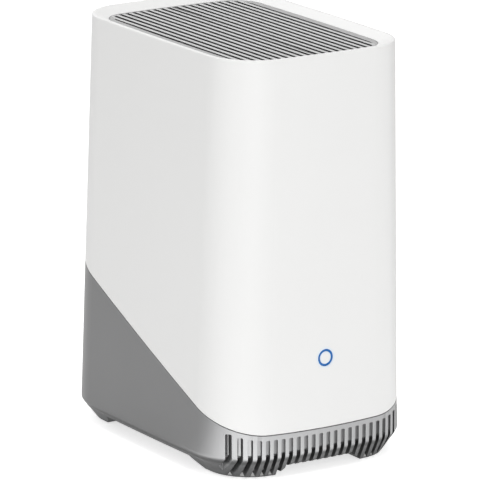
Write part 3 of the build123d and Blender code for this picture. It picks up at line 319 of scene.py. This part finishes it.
def moulded(name, colour, roughness, grain_depth=0.006 * mm, metallic=0.0, edge=0.0, painted_shade=()):
    """Moulded plastic with a fine grain and a tone that drifts. The last argument lists masks of painted
    shade.
    """
    made = Finish(name, IOR=1.5, Metallic=metallic)
    cloud = made.noise(30.0)
    tone = made.mix(cloud, tuple(c * (1 - 2 * drift) for c in colour), colour)
    for mask in painted_shade:
        tone = made.mix(mask(made), tone, tuple(painted_shade_share * c for c in colour))
    made.colour(tone)
    fine = made.noise(grains_per_metre, 3.0)
    made.roughness(roughness - 0.04 + 0.08 * fine)
    made.bump(fine, grain_depth, edge)
    return made.material


white_plastic = moulded("white_plastic", (0.80, 0.80, 0.795), 0.42)
grey_plastic = moulded("grey_plastic", foot_grey, 0.36, 0.003 * mm, metallic=0.85, edge=0.4 * mm)
# The foot's grooves and the line below its crease get painted shade.
foot_plastic = moulded("foot_plastic", foot_grey, 0.36, 0.003 * mm, metallic=0.85, edge=0.4 * mm,
                       painted_shade=(groove_floor_shade, crease_line_shade))
grille_plastic = moulded("grille_plastic", (0.50, 0.50, 0.50), 0.40)
border_plastic = moulded("border_plastic", (0.36, 0.36, 0.36), 0.42)
black_plastic = moulded("black_plastic", (0.018, 0.018, 0.02), 0.45)
cream_plastic = moulded("cream_plastic", (0.62, 0.58, 0.46), 0.4)
print("plastics made")

# %% [markdown]
# ## Rubber, metals and epoxy
#
# Rubber is matt and slightly mottled. Sheet steel and the drive's cage show rolling lines, which are noise
# stretched along one axis. A heat sink is anodised, so it is smoother and a little bluish. Chips are cast
# in dark epoxy with a sandy surface.

# %% Other plain finishes
def metal(name, colour, roughness, stretch=(1, 1, 0.04), lines=2500.0):
    """Metal with fine lines along one axis."""
    made = Finish(name, Metallic=1.0)
    streaks = made.noise(lines, 3.0, stretch)
    made.colour(made.mix(streaks, tuple(0.82 * c for c in colour), colour))
    made.roughness(roughness - 0.06 + 0.14 * streaks)
    made.bump(streaks, 0.004 * mm)
    return made.material


def matt(name, colour, roughness, speck=1800.0, depth=0.02 * mm):
    """Matt material with an even mottle."""
    made = Finish(name)
    mottle = made.noise(speck, 4.0)
    made.colour(made.mix(mottle, tuple(0.7 * c for c in colour), tuple(1.15 * c for c in colour)))
    made.roughness(roughness - 0.05 + 0.1 * mottle)
    made.bump(mottle, depth)
    return made.material


rubber = matt("rubber", (0.03, 0.03, 0.031), 0.8)
chip_epoxy = matt("chip_epoxy", (0.022, 0.022, 0.024), 0.55, 5000.0, 0.006 * mm)
pad_putty = matt("pad_putty", (0.26, 0.34, 0.40), 0.7, 900.0)
cone_paper = matt("cone_paper", (0.03, 0.03, 0.033), 0.85, 1200.0, 0.03 * mm)
plated_steel = metal("plated_steel", (0.60, 0.60, 0.61), 0.32, (1, 1, 1), 1500.0)
rolled_steel = metal("rolled_steel", (0.56, 0.57, 0.58), 0.38)
tinned_steel = metal("tinned_steel", (0.66, 0.66, 0.67), 0.28, (0.04, 1, 1))
anodised = metal("anodised", (0.55, 0.57, 0.60), 0.42, (1, 1, 0.05), 1800.0)
gold_plate = metal("gold_plate", (0.85, 0.62, 0.26), 0.25, (1, 0.05, 1))
copper_wire = metal("copper_wire", (0.62, 0.28, 0.13), 0.35, (1, 1, 8), 1200.0)
print("rubber, metals and epoxy made")

# %% [markdown]
# ## Circuit board
#
# A board is green lacquer over copper. The copper shows through as a slightly lighter green, in long tracks
# that turn corners, and the pads at their ends are bare and tinned. A brick pattern gives the tracks, since
# its mortar is a net of straight lines, and a cell pattern gives the pads. Only colour and roughness change,
# because a real track stands up by less than a hair's width.

# %% The board finish
def circuit_board(name):
    """Green lacquer with tracks and pads. The pattern is laid out in millimetres."""
    made = Finish(name, IOR=1.5, Coat_Weight=0.3, Coat_Roughness=0.25)
    where = made.place() * (1000.0, 1000.0, 1000.0)
    x, y, z = (made.node("ShaderNodeSeparateXYZ", {}, {0: where}, letter) for letter in "XYZ")
    flat = made.node("ShaderNodeCombineXYZ", {}, {0: x + 0.31 * y, 1: z + 0.27 * y, 2: 0.0})
    bricks = {"Vector": flat, "Scale": 0.45, "Mortar Size": 0.10, "Mortar Smooth": 0.1, "Brick Width": 1.9,
              "Row Height": 0.42, "Color1": (0, 0, 0), "Color2": (0, 0, 0), "Mortar": (1, 1, 1)}
    tracks = made.node("ShaderNodeTexBrick", {"offset": 0.37, "squash": 1.4}, bricks, 1)
    cells = made.node("ShaderNodeTexVoronoi", {}, {"Vector": flat, "Scale": 0.55}, 0)
    pads = cells < 0.16
    lacquer = made.mix(made.noise(60.0), (0.008, 0.075, 0.032), (0.012, 0.105, 0.045))
    tracked = made.mix(0.75 * tracks, lacquer, (0.03, 0.19, 0.08))
    made.colour(made.mix(pads, tracked, (0.55, 0.50, 0.36)))
    made.roughness(0.38 - 0.12 * pads + 0.06 * tracks)
    return made.material


board_green = circuit_board("board_green")
print("board finish made")

# %% [markdown]
# ## The light in the front
#
# A ring of clear plastic carries the light of four lamps behind it to the front. Lit, it is an even blue, a
# little paler where a lamp sits behind it. White plastic passes some light, so the sleeve glows faintly for
# about a millimetre round the ring. The glow is a colour on the sleeve that fades with the distance from
# the ring's middle, and it sits still on the sleeve from every side.

# %% The ring's finish and the sleeve with its glow
ring_low, ring_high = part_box("led_ring")
ring_middle = (ring_low + ring_high) / 2
disc_low, disc_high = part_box("ring_centre")
disc_radius = (disc_high.x - disc_low.x) / 2
ring_radius = disc_radius + 0.46 * mm
glow_front = -40 * mm


def from_ring_middle(made):
    """Distance from the ring's axis, in metres."""
    x, z = made.axis("X"), made.axis("Z") - ring_middle.z
    return made.maths("SQRT", x * x + z * z)


def blue_light(name):
    """Clear blue plastic, lit by four lamps behind it."""
    made = Finish(name, Roughness=0.35, IOR=1.49, Specular_IOR_Level=0.2, Emission_Strength=0.1)
    turn = made.maths("ARCTAN2", made.axis("Z") - ring_middle.z, made.axis("X"))
    lamps = made.maths("COSINE", 4 * turn)
    tone = made.mix(0.5 - 0.3 * lamps, (0.008, 0.105, 0.34), (0.012, 0.13, 0.40))
    made.colour(tone)
    made.feed(made.shader.inputs["Emission Color"], tone)
    return made.material


def glowing_white(name):
    """The sleeve's plastic, tinted round the light."""
    made = Finish(name, IOR=1.5)
    cloud = made.noise(30.0)
    plain = made.mix(cloud, (0.79, 0.79, 0.785), (0.80, 0.80, 0.795))
    away = abs(from_ring_middle(made) - ring_radius)
    near = made.fade(away, 2.0 * mm, 0.2 * mm, 0.0, 0.45, soft=True)
    front = made.axis("Y") < glow_front
    made.colour(made.mix(near * front, plain, (0.52, 0.70, 0.92)))
    fine = made.noise(grains_per_metre, 3.0)
    made.roughness(0.38 + 0.08 * fine)
    made.bump(fine, 0.006 * mm)
    return made.material


light_blue = blue_light("light_blue")
sleeve_white = glowing_white("sleeve_white")
print("ring radius", round(ring_radius / mm, 2), "mm")

# %% [markdown]
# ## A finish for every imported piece
#
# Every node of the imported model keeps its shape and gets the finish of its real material. The table groups
# the nodes by what they are made of.

# %% Assign the finishes
finishes = {
    sleeve_white: ["outer_shell", "ring_centre"],
    foot_plastic: ["chassis"],
    grey_plastic: ["drive_tray", "drive_cover"],
    grille_plastic: ["top_grille"],
    light_blue: ["led_ring"],
    rubber: ["foot_pads"],
    board_green: ["main_board", "port_board", "button_board", "led_board", "drive_board", "aerial_left",
                  "aerial_right"],
    black_plastic: ["inner_frame", "fan_frame", "fan_rotor", "heat_sink_pins", "port_panel", "power_jack",
                    "usb_tongue", "sync_button", "reset_button", "speaker_bracket", "speaker_frame", "drive",
                    "drive_connector"],
    cream_plastic: ["leds", "board_header"],
    chip_epoxy: ["processor", "memory_chips", "power_coils", "sync_switch", "reset_switch"],
    pad_putty: ["thermal_pad"],
    cone_paper: ["speaker_cone"],
    plated_steel: ["led_board_screws", "frame_screws", "shell_screws", "fan_screws", "board_screws",
                   "port_board_screws", "speaker_screws", "thumb_screw"],
    rolled_steel: ["drive_bay", "speaker_magnet"],
    tinned_steel: ["radio_shields", "capacitors", "backup_cell", "power_jack_pin", "network_jack",
                   "usb_jack"],
    anodised: ["heat_sink"],
    gold_plate: ["network_contacts"],
    copper_wire: ["fan_stator"],
    white_plastic: ["rating_label"],
}
for finish, names in finishes.items():
    for name in names:
        nodes[name].data.materials.clear()
        nodes[name].data.materials.append(finish)
bare = set(nodes) - {name for names in finishes.values() for name in names}
print("nodes without a finish:", sorted(bare))

# %% [markdown]
# ## Tools for the mesh pieces
#
# Most pieces below are skins: rows of points, one row after another, with four-sided faces between them. A
# long strip, a ring and a turned part are all skins, so one helper makes them. A second helper turns the
# finished bmesh into an object, gives it its finish and rides it on its body. Edges sharper than 40 degrees
# stay crisp, and the rest is shaded smooth.

# %% Skins and finished pieces
merge_distance = 0.001 * mm
sharp_degrees = 40


def skin(mesh, rows, caps=True):
    """Faces between rows of points. Each row is a closed loop, and caps fill the first and the last."""
    made = [[mesh.verts.new(point) for point in row] for row in rows]
    for first, second in zip(made, made[1:]):
        for k in range(len(first)):
            n = (k + 1) % len(first)
            mesh.faces.new((first[k], first[n], second[n], second[k]))
    if caps:
        mesh.faces.new(made[0][::-1])
        mesh.faces.new(made[-1])


def ring_skin(mesh, loops):
    """A closed ring through several loops: the last joins the first again."""
    skin(mesh, loops + loops[:1], caps=False)
    bmesh.ops.remove_doubles(mesh, verts=mesh.verts, dist=merge_distance)


def finished(name, mesh, finish, body, replaced=()):
    """Makes an object of a bmesh: with its finish, its body and the nodes that it stands for."""
    bmesh.ops.recalc_face_normals(mesh, faces=mesh.faces)
    data = bpy.data.meshes.new(name)
    mesh.to_mesh(data)
    mesh.free()
    for face in data.polygons:
        face.use_smooth = True
    data.set_sharp_from_angle(angle=math.radians(sharp_degrees))
    data.materials.append(finish)
    piece = bpy.data.objects.new(name, data)
    bpy.context.scene.collection.objects.link(piece)
    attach(piece, body)
    if replaced:
        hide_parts(*replaced)
    print(name, "faces:", len(data.polygons))


print("edges over", sharp_degrees, "degrees stay crisp")

# %% [markdown]
# ## The body's outline
#
# Seen from above, the body is neither a rectangle nor an ellipse. Its four sides bulge slightly, like a
# barrel, and its corners are arcs that touch them. The corner's centre is where two circles meet: one drawn
# round the centre of the front's arc and one round that of the side's. The louvred plate has the same
# outline, only smaller, so one function serves both.

# %% Outline of four arcs and four corners
half_width, half_depth = 55.0 * mm, 73.5 * mm
front_bulge, side_bulge = 3.66 * mm, 1.45 * mm
front_arc = (half_width ** 2 + front_bulge ** 2) / (2 * front_bulge)
side_arc = (half_depth ** 2 + side_bulge ** 2) / (2 * side_bulge)
front_centre = Vector((0, front_arc - half_depth))
side_centre = Vector((half_width - side_arc, 0))


def arc(centre, radius, first, last, steps):
    """Points along an arc, from one angle to another."""
    turns = [first + (last - first) * k / steps for k in range(steps + 1)]
    return [centre + radius * Vector((math.cos(a), math.sin(a))) for a in turns]


def outline(side_inset, front_inset, radius, steps=8):
    """Points round the body, set in from its sides and its front, with corners of a radius."""
    to_front = front_arc - front_inset - radius
    to_side = side_arc - side_inset - radius
    between = side_centre - front_centre
    along = (to_front ** 2 - to_side ** 2 + between.length ** 2) / (2 * between.length)
    across = math.sqrt(to_front ** 2 - along ** 2)
    unit = between.normalized()
    corner = front_centre + unit * along + Vector((-unit.y, unit.x)) * across
    front_end = math.atan2(*reversed(corner - front_centre))
    side_end = math.atan2(*reversed(corner - side_centre))
    quarter = arc(front_centre, front_arc - front_inset, -math.pi / 2, front_end, steps)
    quarter += arc(corner, radius, front_end, side_end, 2 * steps)[1:]
    quarter += arc(side_centre, side_arc - side_inset, side_end, 0, steps)[1:]
    right_half = quarter + [Vector((p.x, -p.y)) for p in quarter[-2::-1]]
    return right_half + [Vector((-p.x, p.y)) for p in right_half[-2:0:-1]]


def at_height(loop, z):
    """A loop of flat points, lifted to a height."""
    return [(p.x, p.y, z) for p in loop]


def front_end_of(loop, x):
    """Where a loop's front runs at a distance x from the middle."""
    front = sorted((p for p in loop if p.y < 0 and p.x >= 0), key=lambda p: p.x)
    for near, far in zip(front, front[1:]):
        if near.x <= abs(x) <= far.x:
            share = (abs(x) - near.x) / max(far.x - near.x, 1e-9)
            return near.y + share * (far.y - near.y)
    return front[-1].y


plate_side_inset = 12.8 * mm
plate_loop = outline(plate_side_inset, 11.9 * mm, 14.0 * mm)
print("louvred plate:", [round(max(p[k] for p in plate_loop) / mm, 2) for k in (0, 1)])

# %% [markdown]
# ## The louvred plate
#
# Warm air leaves through the top. The plate there has twenty long slots, and the strips between them are
# rounded, pale and a little shiny. The grid below them is black as painted shade, coloured as dark as the
# shade inside the slots, so that the slots read as black lines from almost any angle. The strips run out to
# the plate's edge at the front and at the rear, and dip where they end. Each strip is a skin along the slot's
# direction, and its two ends follow the plate's outline.
# Its section is given as shares of its half width and heights in millimetres, for one half, and mirrored
# for the other.

# %% Make the strips, the border and the grid
plate_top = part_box("top_grille")[1].z
slot_pitch, slot_gap, slot_count = 3.99 * mm, 1.75 * mm, 20
strip_middles = [k * slot_pitch for k in range(1 - slot_count // 2, slot_count // 2)]
strip_half = 0.97 * mm
strip_foot = -0.70
half_section = [(-1.0, strip_foot), (-1.0, -0.22), (-0.86, -0.08), (-0.5, 0.02)]
strip_section = half_section + [(0.0, 0.06)] + [(-share, height) for share, height in half_section[::-1]]
end_dips = [(0.0, 0.55), (0.25, 0.28), (0.7, 0.10), (1.4, 0.02), (2.2, 0.0)]

strips = bmesh.new()
for centre in strip_middles:
    rows = []
    for side in (-1, 1):
        stations = end_dips if side < 0 else end_dips[::-1]
        for inwards, dip in stations:
            row = []
            for share, height in strip_section:
                x = centre + share * strip_half
                end = -front_end_of(plate_loop, x) - (0.12 + inwards) * mm
                lowered = dip if height > strip_foot else 0
                row.append((x, side * end, plate_top + (height - lowered) * mm))
            rows.append(row)
    skin(strips, rows)
finished("grille_strips", strips, grille_plastic, "base")

outer_edge = (slot_count // 2) * slot_pitch - slot_pitch / 2 + slot_gap / 2
side_border = plate_side_inset + (max(p.x for p in plate_loop) - outer_edge)
border_inner = outline(side_border, 12.7 * mm, 11.5 * mm)
rim_outer = outline(13.05 * mm, 12.1 * mm, 13.8 * mm)
rim_inner = outline(side_border - 0.3 * mm, 12.55 * mm, 11.8 * mm)
border_steps = [(plate_loop, 0.8), (plate_loop, 0.25), (rim_outer, 0.04), (rim_inner, 0.04),
                (border_inner, 0.25), (border_inner, 0.8)]
border = bmesh.new()
ring_skin(border, [at_height(loop, plate_top - below * mm) for loop, below in border_steps])
finished("grille_border", border, border_plastic, "base")

grid_top, plate_low = plate_top - 0.22 * mm, plate_top - 2.6 * mm
flange_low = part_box("top_grille")[0].z
flange_loop = outline(9.8 * mm, 8.9 * mm, 17.0 * mm)
bar_half = 1.06 * strip_half
grid = bmesh.new()
for centre in strip_middles:
    left, right_side = centre - bar_half, centre + bar_half
    rows = []
    for side in (-1, 1):
        end = side * (-front_end_of(plate_loop, abs(centre) + strip_half) - 1.0 * mm)
        rows.append([(left, end, plate_low), (left, end, grid_top), (right_side, end, grid_top),
                     (right_side, end, plate_low)])
    skin(grid, rows)
ring_skin(grid, [at_height(plate_loop, grid_top), at_height(plate_loop, plate_low),
                 at_height(flange_loop, plate_low), at_height(flange_loop, flange_low),
                 at_height(border_inner, flange_low), at_height(border_inner, grid_top)])
# The grid's black is painted shade for the slots between the strips.
finished("grille_grid", grid, black_plastic, "base", ["top_grille"])

# %% [markdown]
# ## Turned parts
#
# A part made on a lathe is a profile turned round an axis. The profile is a closed loop of points, each a
# radius and a place along the axis, so the turned skin is a ring. Where the profile touches the axis, its
# points fall together and are merged, and the ring becomes a disc.

# %% Turn a profile
turned_steps = 72


def turned(mesh, profile, middle, axis, steps=turned_steps):
    """Turns a closed profile of (radius, place) points round an axis, Y or Z, through a middle point."""
    rows = []
    for k in range(steps):
        turn = 2 * math.pi * k / steps
        row = []
        for radius, place_along in profile:
            across, beside = radius * math.cos(turn), radius * math.sin(turn)
            if axis == "Y":
                row.append((middle[0] + across, place_along, middle[2] + beside))
            else:
                row.append((middle[0] + across, middle[1] + beside, place_along))
        rows.append(row)
    ring_skin(mesh, rows)


print("turned parts have", turned_steps, "steps round, small ones fewer")

# %% [markdown]
# ## The light ring and its disc
#
# The ring is a clear light guide with a rounded nose that stands level with the sleeve, and a wide flange
# behind the wall stops it from falling out. The white disc in the middle is slightly domed. Rounded edges
# catch a line of light, which is what tells the eye that they are separate pieces.

# %% Make the ring and the disc
nose = ring_low.y
wall_back = disc_high.y
guide_outer = disc_radius + 0.95 * mm
guide_inner = disc_radius - 0.12 * mm
disc_edge = guide_inner - 0.05 * mm
flange_radius = (ring_high.x - ring_low.x) / 2
guide = bmesh.new()
nose_round = [(0.0, 0.16), (0.12, 0.03), (0.3, 0.0)]
outer_nose = [(guide_outer - inset * mm, nose + depth * mm) for inset, depth in nose_round]
inner_nose = [(guide_inner + inset * mm, nose + depth * mm) for inset, depth in nose_round[::-1]]
guide_flange = [(0, wall_back), (0, ring_high.y), (flange_radius, ring_high.y), (flange_radius, wall_back)]
turned(guide, [(guide_outer, wall_back), *outer_nose, *inner_nose, (guide_inner, wall_back), *guide_flange],
       ring_middle, "Y")
finished("light_guide", guide, light_blue, "base", ["led_ring"])

disc = bmesh.new()
disc_round = [(0.0, 0.18), (0.06, 0.07), (0.2, 0.02)]
disc_rim = [(disc_edge - inset * mm, nose + depth * mm) for inset, depth in disc_round]
turned(disc, [(disc_edge, wall_back), *disc_rim, (0.6 * disc_edge, nose), (0, nose), (0, wall_back)],
       ring_middle, "Y")
finished("light_disc", disc, sleeve_white, "base", ["ring_centre"])

# %% [markdown]
# ## Rubber feet
#
# Each foot has a rubber pad let into its sole. A pad is moulded with a rounded lower edge and a shallow
# hollow, so that its rim grips the table. Its outline follows the foot: two arcs of the body's outline
# outside, and a rounded inner corner. One pad is drawn, and the other three are mirrored from it.

# %% Make the pads
pad_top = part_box("foot_pads")[1].z
pad_corner = Vector((29.1, -48.1)) * mm
pad_round = 2.1 * mm
pad_edge = outline(13.0 * mm, 9.1 * mm, 16.1 * mm, 40)
body_edge = [p for p in pad_edge if p.x > pad_corner.x and p.y < pad_corner.y]
body_edge.sort(key=lambda p: math.atan2(p.y - pad_corner.y, p.x - pad_corner.x))
inner_turn = arc(pad_corner + Vector((pad_round, -pad_round)), pad_round, math.pi / 2, math.pi, 6)
pad_loop = body_edge + inner_turn
pad_middle = sum(pad_loop, Vector((0, 0))) / len(pad_loop)
pad_steps = [(0.995, pad_top), (0.995, 0.45 * mm), (0.985, 0.14 * mm), (0.96, 0.0), (0.80, 0.0),
             (0.77, 0.3 * mm)]
pads = bmesh.new()
for side in (-1, 1):
    for end in (-1, 1):
        rows = []
        for share, z in pad_steps:
            loop = [pad_middle + share * (p - pad_middle) for p in pad_loop]
            rows.append([(side * p.x, end * p.y, z) for p in loop])
        skin(pads, rows)
finished("rubber_feet", pads, rubber, "base", ["foot_pads"])

# %% [markdown]
# ## Ramps in the front feet
#
# The slots of the front run down between the fins of the two front feet. They don't end open: behind the
# fins a small ramp leads from the slots' back out to a thin grey rim, so that the sole has an unbroken edge.
# The ramp looks up and catches the light from above. It is made of the white plastic as a painted highlight,
# which gives the small pale triangles between the fins. Each row of a skin takes the points with the same
# number from several outlines, from the rim to the slots' back.

# %% Make the rims and the ramps
crease_height = 10.7 * mm
foot_inner_x, slots_end_y = 24.4 * mm, -57.5 * mm
foot_side_inset, foot_front_inset = 9.1 * mm, 5.2 * mm
ramp_steps = 24


def chamfer_loop(height, inset):
    """The bottom chamfer's outline at a height, set in by a distance."""
    share = height / crease_height
    return outline(foot_side_inset * (1 - share) + inset, foot_front_inset * (1 - share) + inset,
                   (20.0 + 6.3 * share) * mm - inset, ramp_steps)


hair = 0.05 * mm
rim_edge = chamfer_loop(0.9 * mm, hair)
rim_levels = [(rim_edge, 0.95 * mm), (chamfer_loop(1.5 * mm, hair), 1.5 * mm),
              (chamfer_loop(1.5 * mm, 0.6 * mm), 1.5 * mm), (chamfer_loop(0.9 * mm, 0.6 * mm), 0.95 * mm)]
slots_back = outline(9.0 * mm, 8.0 * mm, 20.0 * mm, ramp_steps)
ramp_base = outline(9.6 * mm, 8.6 * mm, 19.4 * mm, ramp_steps)
ramp_levels = [(chamfer_loop(1.0 * mm, 0.5 * mm), 1.0 * mm), (chamfer_loop(1.5 * mm, 0.5 * mm), 1.45 * mm),
               (slots_back, 3.9 * mm), (ramp_base, 3.9 * mm), (ramp_base, 1.0 * mm)]
front_right = rim_edge[:4 * ramp_steps + 1]
stations = [k for k, p in enumerate(front_right) if p.x > foot_inner_x and p.y < slots_end_y]
# The ramps' white plastic is a painted highlight; the rims keep the foot's grey.
for name, levels, finish, slot in (("foot_rims", rim_levels, grey_plastic, "grey_plastic"),
                                   ("foot_ramps", ramp_levels, white_plastic, "white_plastic")):
    band = bmesh.new()
    for side in (-1, 1):
        skin(band, [[(side * loop[k].x, loop[k].y, z) for loop, z in levels] for k in stations])
    finished(name, band, finish, "base")

# %% [markdown]
# ## The fan's rotor
#
# A real fan blade is a thin curved wing: steep and short at the hub, flatter and longer at the tip, and
# swept back, which makes it quieter. Each blade is a skin from the hub to the tip. Its section is bent
# round the axis, so the tip runs at an even distance from the housing. The hub is a turned cup with a
# shallow round recess.

# %% Make the rotor
rotor_low, rotor_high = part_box("fan_rotor")
rotor_middle = (rotor_low + rotor_high) / 2
hub_radius, tip_radius = 17.0 * mm, 36.8 * mm
hub_inner, shaft_radius = hub_radius - 1.4 * mm, 1.5 * mm
hub_top, hub_low = rotor_high.z, rotor_low.z
hub_ceiling = hub_top - 1.6 * mm
blade_count, blade_steps = 7, 6
blade_section = [(-0.5, 0.0), (-0.3, 0.55), (0.0, 0.7), (0.3, 0.5), (0.5, 0.0), (0.3, -0.45), (0.0, -0.55),
                 (-0.3, -0.4)]
rotor = bmesh.new()
turned(rotor, [(0, hub_top - 0.4 * mm), (13.0 * mm, hub_top - 0.4 * mm), (13.4 * mm, hub_top),
               (15.6 * mm, hub_top), (16.6 * mm, hub_top - 0.4 * mm), (hub_radius, hub_top - 1.4 * mm),
               (hub_radius, hub_low), (hub_inner, hub_low), (hub_inner, hub_ceiling),
               (shaft_radius, hub_ceiling), (shaft_radius, hub_low), (0, hub_low)], (0, 0, 0), "Z")
for k in range(blade_count):
    rows = []
    for station in range(blade_steps + 1):
        share = station / blade_steps
        radius = hub_radius - 0.5 * mm + share * (tip_radius - hub_radius + 0.5 * mm)
        pitch = math.radians(46 - 17 * share)
        chord = (12.5 + 6.0 * share) * mm
        sweep = -0.10 * share ** 2
        row = []
        for along, bulge in blade_section:
            camber = (1 - 4 * along ** 2) * 0.9 * mm
            u = along * chord * math.cos(pitch) - (camber + bulge * mm) * math.sin(pitch)
            w = along * chord * math.sin(pitch) + (camber + bulge * mm) * math.cos(pitch)
            turn = 2 * math.pi * k / blade_count + sweep + u / radius
            height = rotor_middle.z + 0.92 * w - 0.3 * mm
            row.append((radius * math.cos(turn), radius * math.sin(turn), height))
        rows.append(row)
    skin(rotor, rows)
finished("fan_wheel", rotor, black_plastic, "fan_rotor", ["fan_rotor"])

# %% [markdown]
# ## The drive
#
# A 2.5-inch drive is a cast tray with a thin pressed lid on it. The lid has rounded corners, a blank label
# and a row of small screws, and the contacts are at one short end. Slabs with rounded corners and rounded
# edges do for the tray, the lid and the label. A slab is a skin too: the same outline six times, a little
# smaller in the two at each end, which rounds its edges.

# %% Make the drive
def rounded_loop(half_x, half_z, radius, steps=5):
    """Rounded rectangle as (x, z) points."""
    points = []
    for turn, (side, end) in enumerate(((1, 1), (-1, 1), (-1, -1), (1, -1))):
        corner = Vector((side * (half_x - radius), end * (half_z - radius)))
        points += arc(corner, radius, turn * math.pi / 2, (turn + 1) * math.pi / 2, steps)
    return points


def slab(mesh, middle_x, middle_z, half_x, half_z, y_front, y_rear, radius, edge):
    """Upright slab with rounded corners. Its front and rear edges are rounded by edge."""
    rows = []
    front_steps = [(edge, y_front), (0.3 * edge, y_front + 0.3 * edge), (0, y_front + edge)]
    rear_steps = [(0, y_rear - edge), (0.3 * edge, y_rear - 0.3 * edge), (edge, y_rear)]
    for inset, y in front_steps + rear_steps:
        loop = rounded_loop(half_x - inset, half_z - inset, radius - inset)
        rows.append([(middle_x + p.x, y, middle_z + p.y) for p in loop])
    skin(mesh, rows)


drive_low, drive_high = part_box("drive")
drive_middle = (drive_low + drive_high) / 2
drive_half = (drive_high - drive_low) / 2
lid_front = drive_low.y
casting = bmesh.new()
slab(casting, 0, drive_middle.z, drive_half.x, drive_half.z, lid_front + 0.9 * mm, drive_high.y, 1.6 * mm,
     0.4 * mm)
finished("drive_casting", casting, black_plastic, "drive_drawer", ["drive"])

lid = bmesh.new()
slab(lid, 0, drive_middle.z - 1.5 * mm, drive_half.x - 1.2 * mm, drive_half.z - 3.2 * mm,
     lid_front + 0.25 * mm, lid_front + 1.1 * mm, 5.0 * mm, 0.25 * mm)
finished("drive_lid", lid, anodised, "drive_drawer")

label = bmesh.new()
slab(label, 0, drive_middle.z - 4 * mm, 24.0 * mm, 31.0 * mm, lid_front + 0.17 * mm, lid_front + 0.3 * mm,
     1.5 * mm, 0.03 * mm)
finished("drive_label", label, white_plastic, "drive_drawer")

screw_head = [(0, 0.3), (0.75, 0.12), (0.8, 0.02), (1.45, 0.02), (1.75, 0.18), (1.75, 0.4), (0, 0.4)]
head_profile = [(radius * mm, lid_front + depth * mm) for radius, depth in screw_head]
lid_screws = bmesh.new()
for x, z in ((-30, 44), (30, 44), (-30, -46), (30, -46), (-31, 0), (31, 0)):
    turned(lid_screws, head_profile, (x * mm, 0, drive_middle.z + z * mm), "Y", 20)
finished("drive_lid_screws", lid_screws, plated_steel, "drive_drawer")

# %% [markdown]
# ## The floor
#
# The floor is a plain white sheet. It is only there to catch the shadow. A photographer also lays bright
# cards in front of such an object, and its pale plastic and its metallic foot mirror them. Here the floor
# does that work: rays that are mirrored in the object find it brighter close in front, most of all towards
# the left, and dim under and behind the body. The camera sees the floor as plain white.

# %% Lay the floor
floor_mesh = bpy.data.meshes.new("floor")
half_floor = 3.0
corners = [(x * half_floor, y * half_floor, 0) for x, y in ((-1, -1), (1, -1), (1, 1), (-1, 1))]
floor_mesh.from_pydata(corners, [], [(0, 1, 2, 3)])
floor = bpy.data.objects.new("floor", floor_mesh)
floor.location.z = -0.02 * mm
bpy.context.scene.collection.objects.link(floor)
floor_finish = Finish("floor_white", Roughness=0.9, Base_Color=(0.9, 0.9, 0.9))
seen = floor_finish.node("ShaderNodeLightPath", output="Is Camera Ray")
mirrored = floor_finish.node("ShaderNodeLightPath", output="Is Glossy Ray")
floor_x, floor_y = floor_finish.axis("X"), floor_finish.axis("Y")
outside = floor_finish.maths("MAXIMUM", abs(floor_x) - 55 * mm, abs(floor_y) - 73 * mm)
clear_of_body = floor_finish.fade(outside, 1 * mm, 13 * mm, soft=True)
in_front = floor_finish.fade(floor_y, 0.0, -110 * mm, soft=True)
to_left = floor_finish.fade(floor_x, 70 * mm, -70 * mm, soft=True)
near_in_front = floor_finish.fade(floor_y, -230 * mm, -108 * mm, soft=True)
near_left = floor_finish.fade(floor_x, -160 * mm, -95 * mm, soft=True)
card = (0.5 + 2.2 * to_left) * near_in_front * near_left
sheen = 0.1 + (1.05 + card) * clear_of_body * in_front
glow = 0.25 + 0.4 * seen + mirrored * (sheen - 0.25)
floor_finish.feed(floor_finish.shader.inputs["Emission Color"], glow)
floor_finish.feed(floor_finish.shader.inputs["Emission Strength"], 1.0)
floor_mesh.materials.append(floor_finish.material)
print("floor laid")
